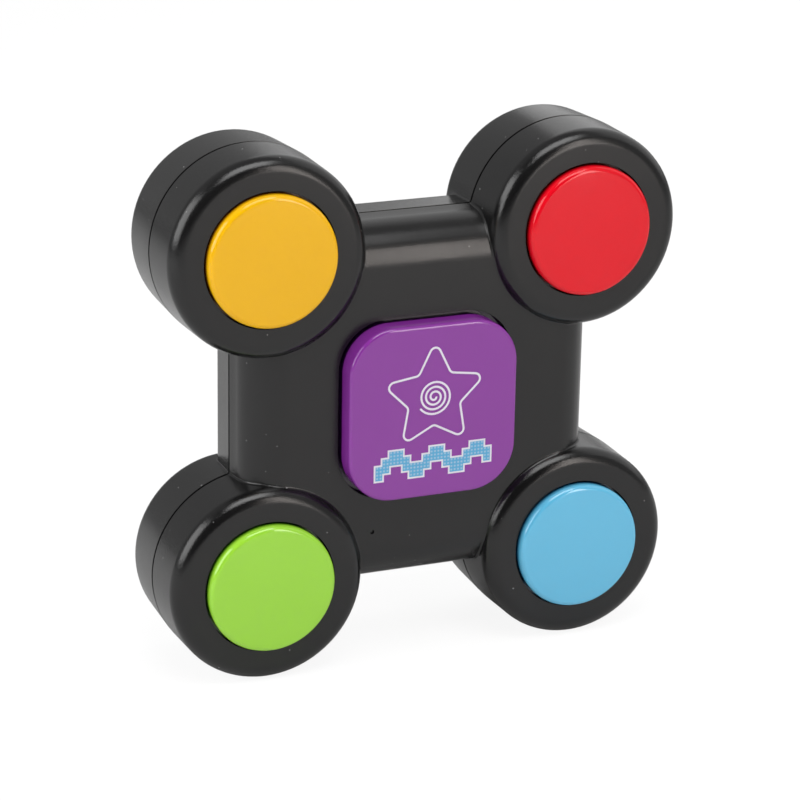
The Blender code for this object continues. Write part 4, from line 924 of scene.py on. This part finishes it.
def start_cap():
    """Shell with a soft upper edge, its flange, and the ring that meets the dome."""
    low = START_FLANGE_TOP - FLANGE_THICKNESS
    ceiling = START_TOP - START_WALL
    edge = arc(-START_EDGE_ROUND, START_FACE - START_EDGE_ROUND, START_EDGE_ROUND, START_EDGE_STEPS)
    cap = start_form("start_cap", [(0.0, START_FLANGE_TOP - ROOT_DEPTH)] + edge, START_CORNER_STEPS)
    flange = start_form("start_flange", [(FLANGE_REACH, low), (FLANGE_REACH, START_FLANGE_TOP)])
    boolean(cap, "UNION", flange)
    space = start_form("start_space", [(-START_WALL, low - OVERRUN), (-START_WALL, ceiling)])
    boolean(cap, "DIFFERENCE", space)
    plunger = (DOME_BORE_RADIUS, PLUNGER_WALL, PLUNGER_END, ceiling + ROOT_DEPTH)
    boolean(cap, "UNION", form("start_plunger", tube, plunger))
    return cap


PURPLE_PLASTIC = surface(
    "purple_plastic", START_PURPLE, START_SHADE, START_ROUGHNESS, FINE_GRAIN, specular=START_GLOSS, lint=0.0
)
# Painted shade: the purple runs to near black down the flank, towards the shadowed gap round the button.
painted_shade_low, painted_shade_high = BODY_FRONT_REACH - OPENING_CHAMFER, BODY_FRONT_REACH + START_PAINTED_SHADE_RISE
paint_flank_shade(PURPLE_PLASTIC, START_PAINTED_SHADE_COLOUR, painted_shade_low, painted_shade_high)
mount(start_cap(), "start_button", PURPLE_PLASTIC, "cap_purple", "start_button")

# Print on the start button
# Pad-printed inks of hardly any thickness: a white star with a spiral in it, over a stepped wave of light
# blue blocks that have a white edge.

STAR_CENTRE = (0.0, 0.0034)
STAR_POINTS = 5
STAR_REACH = 0.0132
STAR_INNER = 0.0066
STAR_ROUND = 0.0013
STAR_ROUND_STEPS = 6
SPIRAL_START = 0.0004
SPIRAL_REACH = 0.0042
SPIRAL_TURNS = 3.4
SPIRAL_STEPS = 32
LINE_WIDTH = 0.00048
BLOCK = 0.00165
BLOCK_EDGE = 0.00042
BLOCK_OVERLAP = 0.00001
WAVE_LEVEL = -0.0142
WAVE = (0, 1, 2, 2, 1, 0, 0, 1, 2, 2, 1, 0, 0, 1, 2, 2, 1)
INK_ROUGHNESS = (0.30, 0.36)
WHITE_INK = (0.80, 0.78, 0.86)
WHITE_INK_SHADE = (0.74, 0.72, 0.80)
BLUE_INK = (0.10, 0.42, 0.70)
BLUE_INK_SHADE = (0.09, 0.39, 0.66)
DOTS_PER_BLOCK = 2.0
DOT_EDGE = (0.34, 0.26)
DOT_SHARE = 0.35


def line_art(name):
    """A rounded star and a spiral in it, drawn as flat ribbons."""
    numbers = {"Reach": STAR_REACH, "Inner Reach": STAR_INNER, "Round": STAR_ROUND}
    numbers |= {"Spiral Reach": SPIRAL_REACH, "Line Width": LINE_WIDTH, "Line Height": 2 * PRINT_HEIGHT}
    tree, given = open_tree(name, numbers)
    size = {"Width": given["Line Width"], "Height": given["Line Height"]}
    ribbon = wire(tree, "GeometryNodeCurvePrimitiveQuadrilateral", **size)
    size = {"Inner_Radius": given["Inner Reach"], "Outer_Radius": given["Reach"]}
    star = wire(tree, "GeometryNodeCurveStar", Points=STAR_POINTS, **size)
    star = wire(tree, "GeometryNodeTransform", Geometry=star, Rotation=(0.0, 0.0, math.pi / 2))
    soft = {"mode": "POLY", "Count": STAR_ROUND_STEPS, "Radius": given["Round"]}
    star = wire(tree, "GeometryNodeFilletCurve", Curve=star, **soft)
    star = wire(tree, "GeometryNodeCurveToMesh", Curve=star, Profile_Curve=ribbon)
    size = {"Start_Radius": SPIRAL_START, "End_Radius": given["Spiral Reach"], "Height": 0.0}
    spiral = wire(tree, "GeometryNodeCurveSpiral", Resolution=SPIRAL_STEPS, Rotations=SPIRAL_TURNS, **size)
    spiral = wire(tree, "GeometryNodeCurveToMesh", Curve=spiral, Profile_Curve=ribbon, Fill_Caps=True)
    return close_tree(tree, wire(tree, "GeometryNodeJoinGeometry", Geometry=[star, spiral]))


def block_field(name):
    """Square blocks on points, grown together into one flat shape."""
    tree, given = open_tree(name, {}, GEOMETRY, ("Block Size", "NodeSocketVector", None))
    block = wire(tree, "GeometryNodeMeshCube", Size=given["Block Size"])
    blocks = scatter(tree, given["Geometry"], block)
    how = {"operation": "UNION", "solver": "EXACT", "Self_Intersection": True}
    return close_tree(tree, wire(tree, "GeometryNodeMeshBoolean", **how, Mesh_2=blocks))


def points(name, spots, height):
    """An object of loose points at one height."""
    mesh = bmesh.new()
    for x, y in spots:
        mesh.verts.new((x, y, height))
    return add(name, mesh)


def ink(name, colour, shade, dots=0.0):
    """Matt ink. Dots sets how far a fine raster of paler dots shows in it."""
    material = surface(name, colour, shade, INK_ROUGHNESS, FINE_GRAIN, lint=0.0)
    if dots:
        tree = material.node_tree
        place = wire(tree, "ShaderNodeTexCoord").node.outputs["Object"]
        for operation, givens in (
            ("SCALE", {"Scale": DOTS_PER_BLOCK / BLOCK}),
            ("FRACTION", {}),
            ("MULTIPLY_ADD", {"Vector_001": (1.0, 0.0, 1.0), "Vector_002": (-0.5, 0.0, -0.5)}),
            ("LENGTH", {}),
        ):
            place = wire(tree, "ShaderNodeVectorMath", operation=operation, Vector=place, **givens)
        tint(tree, ramp(tree, place, *DOT_EDGE, high=dots), WHITE_INK)
    return material


INK_WHITE = ink("white_ink", WHITE_INK, WHITE_INK_SHADE)
INK_BLUE = ink("blue_ink", BLUE_INK, BLUE_INK_SHADE, DOT_SHARE)
BLOCK_FIELD = block_field("block field")
lines = grow("print_lines", line_art("line art"), Material=INK_WHITE)
lines.data.transform(Matrix.Translation((*STAR_CENTRE, START_FACE)))
mount(lines, "start_button", INK_WHITE, "cap_purple")
wave = [
    ((column - (len(WAVE) - 1) / 2) * BLOCK, WAVE_LEVEL + (step + above) * BLOCK)
    for column, step in enumerate(WAVE)
    for above in (0, 1)
]
for name, width, height, colour in (
    ("print_edging", BLOCK + 2 * BLOCK_EDGE, PRINT_HEIGHT, INK_WHITE),
    ("print_blocks", BLOCK + BLOCK_OVERLAP, 2 * PRINT_HEIGHT, INK_BLUE),
):
    spots = points(name, wave, START_FACE)
    printed = grow(name, BLOCK_FIELD, spots, Block_Size=(width, width, height), Material=colour)
    mount(printed, "start_button", colour, "cap_purple")

# Screws
# Self-tapping steel screws with a cross recess: four hold the case from behind, four hold the board, and two
# captive countersunk ones hold the battery cover.

SCREW_CORE = 0.0010
SCREW_CORE_END = SCREW_CORE * 0.96
SCREW_TIP = 0.0012
SCREW_TIP_RADIUS = 0.0002
SCREW_SIDES = 24
HEAD_SIDES = 40
THREAD_PITCH = 0.0011
THREAD_RADIUS = 0.00029
THREAD_STEPS = 20
THREAD_CORNERS = 4
PAN_FACE_RADIUS = 0.0019
RECESS = (0.0026, 0.0006, 0.0010)
CASE_HEAD_SEAT = CASE_SCREW_SEAT - SEAT_GAP


def cone(tree, sides, bottom, top, depth):
    """A cone with its top cut off."""
    ends = {"Radius_Bottom": bottom, "Radius_Top": top}
    return wire(tree, "GeometryNodeMeshCone", Vertices=sides, **ends, Depth=depth)


def screw_tree(name):
    """A head with a cross cut into it, a tapered core and a thread wound round it, set on each point."""
    sizes = ("Face Radius", "Seat Radius", "Head Height", "Length")
    tree, given = open_tree(name, dict.fromkeys(sizes, SCREW_RADIUS), GEOMETRY)
    height = given["Head Height"]
    head = cone(tree, HEAD_SIDES, given["Face Radius"], given["Seat Radius"], height)
    wide, narrow, deep = RECESS
    across = ((wide, narrow), (narrow, wide))
    bars = [wire(tree, "GeometryNodeMeshCube", Size=(*size, 2 * deep)) for size in across]
    how = {"operation": "DIFFERENCE", "solver": "EXACT"}
    head = wire(tree, "GeometryNodeMeshBoolean", **how, Mesh_1=head, Mesh_2=bars)
    straight = calc(tree, "SUBTRACT", calc(tree, "SUBTRACT", given["Length"], height), SCREW_TIP)
    core = cone(tree, SCREW_SIDES, SCREW_CORE, SCREW_CORE_END, straight)
    tip = cone(tree, SCREW_SIDES, SCREW_CORE_END, SCREW_TIP_RADIUS, SCREW_TIP)
    beyond = wire(tree, "ShaderNodeCombineXYZ", Z=straight)
    tip = wire(tree, "GeometryNodeTransform", Geometry=tip, Translation=beyond)
    turns = calc(tree, "DIVIDE", straight, THREAD_PITCH)
    ends = {"Start_Radius": SCREW_CORE, "End_Radius": SCREW_CORE_END, "Height": straight}
    helix = wire(tree, "GeometryNodeCurveSpiral", Resolution=THREAD_STEPS, Rotations=turns, **ends)
    ridge = wire(tree, "GeometryNodeCurvePrimitiveCircle", Resolution=THREAD_CORNERS, Radius=THREAD_RADIUS)
    thread = wire(tree, "GeometryNodeCurveToMesh", Curve=helix, Profile_Curve=ridge, Fill_Caps=True)
    shank = wire(tree, "GeometryNodeJoinGeometry", Geometry=[core, tip, thread])
    above = wire(tree, "ShaderNodeCombineXYZ", Z=height)
    shank = wire(tree, "GeometryNodeTransform", Geometry=shank, Translation=above)
    screw = wire(tree, "GeometryNodeJoinGeometry", Geometry=[head, shank])
    return close_tree(tree, scatter(tree, given["Geometry"], screw))


grey, shade = (0.50, 0.50, 0.49), (0.58, 0.58, 0.57)
PLATED_STEEL = surface("plated_steel", grey, shade, roughness=(0.24, 0.36), grain=0.000002, metallic=1.0)
SCREW = screw_tree("cross recess screw")
PAN_HEAD = (PAN_FACE_RADIUS, SCREW_HEAD_RADIUS, SCREW_HEAD_THICKNESS)
FLAT_HEAD = (SCREW_HEAD_RADIUS, SCREW_RADIUS, COVER_SCREW_CONE)
case_face = CASE_HEAD_SEAT - SCREW_HEAD_THICKNESS
board_face = BOARD_SEAT - SEAT_GAP - SCREW_HEAD_THICKNESS
cover_face = PARTING_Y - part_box("cover_screw_left")[1].y
corners = [f"case_screw_{corner}" for corner in ("upper_left", "upper_right", "lower_left", "lower_right")]
ends = [f"board_screw_{end}" for end in ("left", "right", "upper", "lower")]
screws = [
    ("case_screws", "case", CASE_SCREW_SPOTS, case_face, PAN_HEAD, corners),
    ("board_screws", "case", BOARD_SCREW_SPOTS, board_face, PAN_HEAD, ends),
]
for side, spot in zip(("left", "right"), COVER_SCREW_SPOTS):
    node = f"cover_screw_{side}"
    screws.append((f"{side}_cover_screw", node, [spot], cover_face, FLAT_HEAD, [node]))
for name, body, spots, face, head, nodes in screws:
    low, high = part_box(nodes[0])
    shape = dict(zip(("Face_Radius", "Seat_Radius", "Head_Height", "Length"), (*head, high.y - low.y)))
    fasteners = grow(name, SCREW, points(name, spots, face), Material=PLATED_STEEL, **shape)
    mount(fasteners, body, PLATED_STEEL, "steel", *nodes)

# What is inside
# Glass-fibre board, silicone domes, clear lamps, resin over the chip, cells, springs, loudspeaker and leads.

COLOURS = list(CAP_LOOKS)
DOME_TOP_WIDTH = 0.0026
DOME_FLARE = 0.0022
DOME_BASE_WIDTH = 0.0012
DOME_TOP_RADIUS = DOME_BORE_RADIUS + DOME_TOP_WIDTH
DOME_SKIRT_RADIUS = DOME_TOP_RADIUS + DOME_FLARE
DOME_BASE_RADIUS = DOME_SKIRT_RADIUS + DOME_BASE_WIDTH
DOME_BASE_THICKNESS = 0.0008
DOME_HEIGHT = PLUNGER_END - SEAT_GAP - BOARD_SEAT
DOME_STEP = 0.0036
DOME_SKIN = 0.0008


def ring_dome(name, centre):
    """Silicone ring on a thin skirt, drawn at rest. In the game it gives way under the cap and lifts it
    again.
    """
    profile = [(DOME_BORE_RADIUS, DOME_HEIGHT), (DOME_TOP_RADIUS, DOME_HEIGHT), (DOME_TOP_RADIUS, DOME_STEP)]
    profile += [(DOME_SKIRT_RADIUS, DOME_BASE_THICKNESS), (DOME_BASE_RADIUS, DOME_BASE_THICKNESS)]
    profile += [(DOME_BASE_RADIUS, 0.0), (DOME_SKIRT_RADIUS - DOME_SKIN, 0.0)]
    profile += [(DOME_TOP_RADIUS - DOME_SKIN, DOME_STEP), (DOME_BORE_RADIUS, DOME_STEP)]
    profile = [(radius, BOARD_SEAT + height) for radius, height in profile]
    return form(name, turn, (profile, centre, SPACE_SIDES, True))


def dress(material, nodes):
    """Gives a material to nodes that are shown as the CAD has them."""
    for node in nodes:
        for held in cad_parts[node].material_slots:
            held.material = material


milky, shade = (0.62, 0.63, 0.61), (0.70, 0.70, 0.68)
SILICONE_RUBBER = surface("silicone_rubber", milky, shade, roughness=(0.45, 0.6), grain=0.000002)
for name, centre in zip(COLOURS + ["start"], POD_CENTRES + [(0.0, 0.0)]):
    dome = ring_dome(f"{name}_dome", centre)
    mount(dome, "case", SILICONE_RUBBER, "silicone", f"dome_{name}")
    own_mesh(dome)

# Each surface: its colour, the shade that it shifts to, its roughnesses, the depth of its grain, and the
# nodes that have it.
INSIDE = {
    "board_resist": ((0.010, 0.11, 0.045), (0.016, 0.15, 0.06), (0.30, 0.42), 0.000002, ["main_board"]),
    "clear_resin": (
        (0.80, 0.81, 0.79),
        (0.85, 0.86, 0.84),
        (0.08, 0.14),
        0.0000005,
        [f"lamp_{name}" for name in COLOURS],
    ),
    "black_resin": ((0.010, 0.010, 0.010), (0.016, 0.016, 0.016), (0.18, 0.30), 0.000004, ["sound_chip"]),
    "ferrite": ((0.045, 0.045, 0.05), (0.065, 0.065, 0.07), (0.5, 0.65), 0.00001, ["speaker_magnet"]),
    "cone_paper": ((0.016, 0.016, 0.016), (0.028, 0.028, 0.027), (0.8, 0.95), 0.00002, ["speaker_cone"]),
    "cell_sleeve": (
        (0.15, 0.17, 0.19),
        (0.20, 0.22, 0.24),
        (0.22, 0.32),
        0.000001,
        ["cell_upper", "cell_lower"],
    ),
    "red_pvc": (
        (0.45, 0.016, 0.016),
        (0.55, 0.022, 0.02),
        (0.35, 0.5),
        0.000002,
        ["lead_cell_plus", "lead_speaker_plus"],
    ),
    "black_pvc": (
        (0.012, 0.012, 0.012),
        (0.018, 0.018, 0.018),
        (0.35, 0.5),
        0.000002,
        ["lead_cell_minus", "lead_speaker_minus"],
    ),
}
for name, (*look, nodes) in INSIDE.items():
    dress(surface(name, *look), nodes)
dress(PLATED_STEEL, ["speaker_basket", "contact_plus", "contact_minus", "contact_bridge"])

# Floor, light and camera
# A white table, a soft box over the front of the game, one at its left, a narrow one before its right and a
# pale wall at its right. The room is dim, and darkest where the camera stands.

WHITE = (1.0, 1.0, 1.0)
FLOOR_REACH = 4.0
FLOOR_GREY = 0.74
FLOOR_LIFT = 0.50
SHADOW_SHARE = 0.2
ROOM_PALE = 0.36
ROOM_DIM = 0.02
DIM_SIDE = (-35, 20)
DIM_EDGE = (0.35, 0.85)
LAMP_DISTANCE = 0.9
MIDDLE = Vector((0.0, 0.0, HALF_HEIGHT))
# Each lamp: azimuth, elevation, width and height in degrees, brightness and colour.
LAMPS = {
    "overhead_box": (-3, 65, 37, 29, 4.6, WHITE),
    "left_box": (-84, 25, 44, 38, 3.9, WHITE),
    "right_strip": (24, 12, 11, 46, 5.2, (1.07, 0.99, 0.94)),
    "right_wall": (116, 34, 84, 56, 0.62, WHITE),
}
LENS = 134.1
SENSOR_WIDTH = 36.0
NEAREST = 0.01
CAMERA_RIGHT = Vector((0.92213, -0.38651, 0.01700))
CAMERA_UP = Vector((0.10997, 0.30397, 0.94632))
CAMERA_BACK = Vector((-0.37092, -0.87076, 0.32280))
CAMERA_PLACE = (-0.25446, -0.59457, 0.27888)


def blend(tree, share, under, over, output):
    """Shows a share of one shader over another, and gives both to an output node."""
    mixed = wire(tree, "ShaderNodeMixShader", Fac=share)
    tree.links.new(under, mixed.node.inputs[1])
    tree.links.new(over, mixed.node.inputs[2])
    tree.links.new(mixed, output.inputs["Surface"])


def white_floor():
    """Matt white table. To the camera it is thin, so that the shadow on it stays faint."""
    mesh = bmesh.new()
    corners = [(-1, -1), (1, -1), (1, 1), (-1, 1)]
    mesh.faces.new([mesh.verts.new((x * FLOOR_REACH, y * FLOOR_REACH, 0.0)) for x, y in corners])
    floor = add("floor", mesh)
    material = bpy.data.materials.new("white_table")
    material.use_nodes = True
    tree = material.node_tree
    table = tree.nodes["Principled BSDF"]
    for key, value in (
        ("Base Color", (FLOOR_GREY, FLOOR_GREY, FLOOR_GREY, 1.0)),
        ("Roughness", 0.9),
        ("Specular IOR Level", 0.1),
        ("Emission Color", (*WHITE, 1.0)),
    ):
        table.inputs[key].default_value = value
    seen = wire(tree, "ShaderNodeLightPath")
    tree.links.new(calc(tree, "MULTIPLY", seen, FLOOR_LIFT), table.inputs["Emission Strength"])
    share = calc(tree, "MULTIPLY", seen, 1.0 - SHADOW_SHARE)
    clear = wire(tree, "ShaderNodeBsdfTransparent")
    blend(tree, share, table.outputs[0], clear, tree.nodes["Material Output"])
    floor.data.materials.append(material)


def direction(azimuth, elevation):
    """A direction from the game: azimuth 0 is before it and 90 at its right."""
    around, above = math.radians(azimuth), math.radians(elevation)
    return Vector((math.sin(around) * math.cos(above), -math.cos(around) * math.cos(above), math.sin(above)))


def room():
    """World that the camera sees as white. Everything else sees it pale, and dim towards one side."""
    world = bpy.data.worlds.new("room")
    world.use_nodes = True
    tree = world.node_tree
    tree.nodes.clear()
    seen = wire(tree, "ShaderNodeLightPath")
    place = wire(tree, "ShaderNodeTexCoord")
    towards = {"Vector": place, "Vector_001": direction(*DIM_SIDE)}
    turned = wire(tree, "ShaderNodeVectorMath", operation="DOT_PRODUCT", **towards)
    level = ramp(tree, turned, *DIM_EDGE, ROOM_PALE, ROOM_DIM, shape="SMOOTHSTEP")
    around = wire(tree, "ShaderNodeBackground", Color=(*WHITE, 1.0), Strength=level)
    behind = wire(tree, "ShaderNodeBackground", Color=(*WHITE, 1.0), Strength=1.0)
    blend(tree, seen, around, behind, tree.nodes.new("ShaderNodeOutputWorld"))
    bpy.context.scene.world = world


def soft_box(name, azimuth, elevation, wide, tall, brightness, colour):
    """A lamp that faces the game, placed and sized by the angles at which the game sees it."""
    light = bpy.data.lights.new(name, "AREA")
    light.shape = "RECTANGLE"
    reach = [LAMP_DISTANCE * math.tan(math.radians(angle / 2)) for angle in (wide, tall)]
    light.size, light.size_y = (2 * half for half in reach)
    light.energy = math.pi * brightness * light.size * light.size_y
    light.color = colour
    lamp = bpy.data.objects.new(name, light)
    bpy.context.scene.collection.objects.link(lamp)
    away = direction(azimuth, elevation)
    lamp.location = MIDDLE + away * LAMP_DISTANCE
    lamp.rotation_euler = away.to_track_quat("Z", "Y").to_euler()


def camera():
    """The camera as the photograph shows the game: from the left and a little above."""
    data = bpy.data.cameras.new("camera")
    data.lens = LENS
    data.sensor_width = SENSOR_WIDTH
    data.clip_start = NEAREST
    viewer = bpy.data.objects.new("camera", data)
    bpy.context.scene.collection.objects.link(viewer)
    place = Matrix((CAMERA_RIGHT, CAMERA_UP, CAMERA_BACK)).transposed().to_4x4()
    place.translation = CAMERA_PLACE
    viewer.matrix_world = place
    bpy.context.scene.camera = viewer


white_floor()
room()
for name, settings in LAMPS.items():
    soft_box(name, *settings)
camera()
bpy.context.scene.view_settings.view_transform = "Standard"
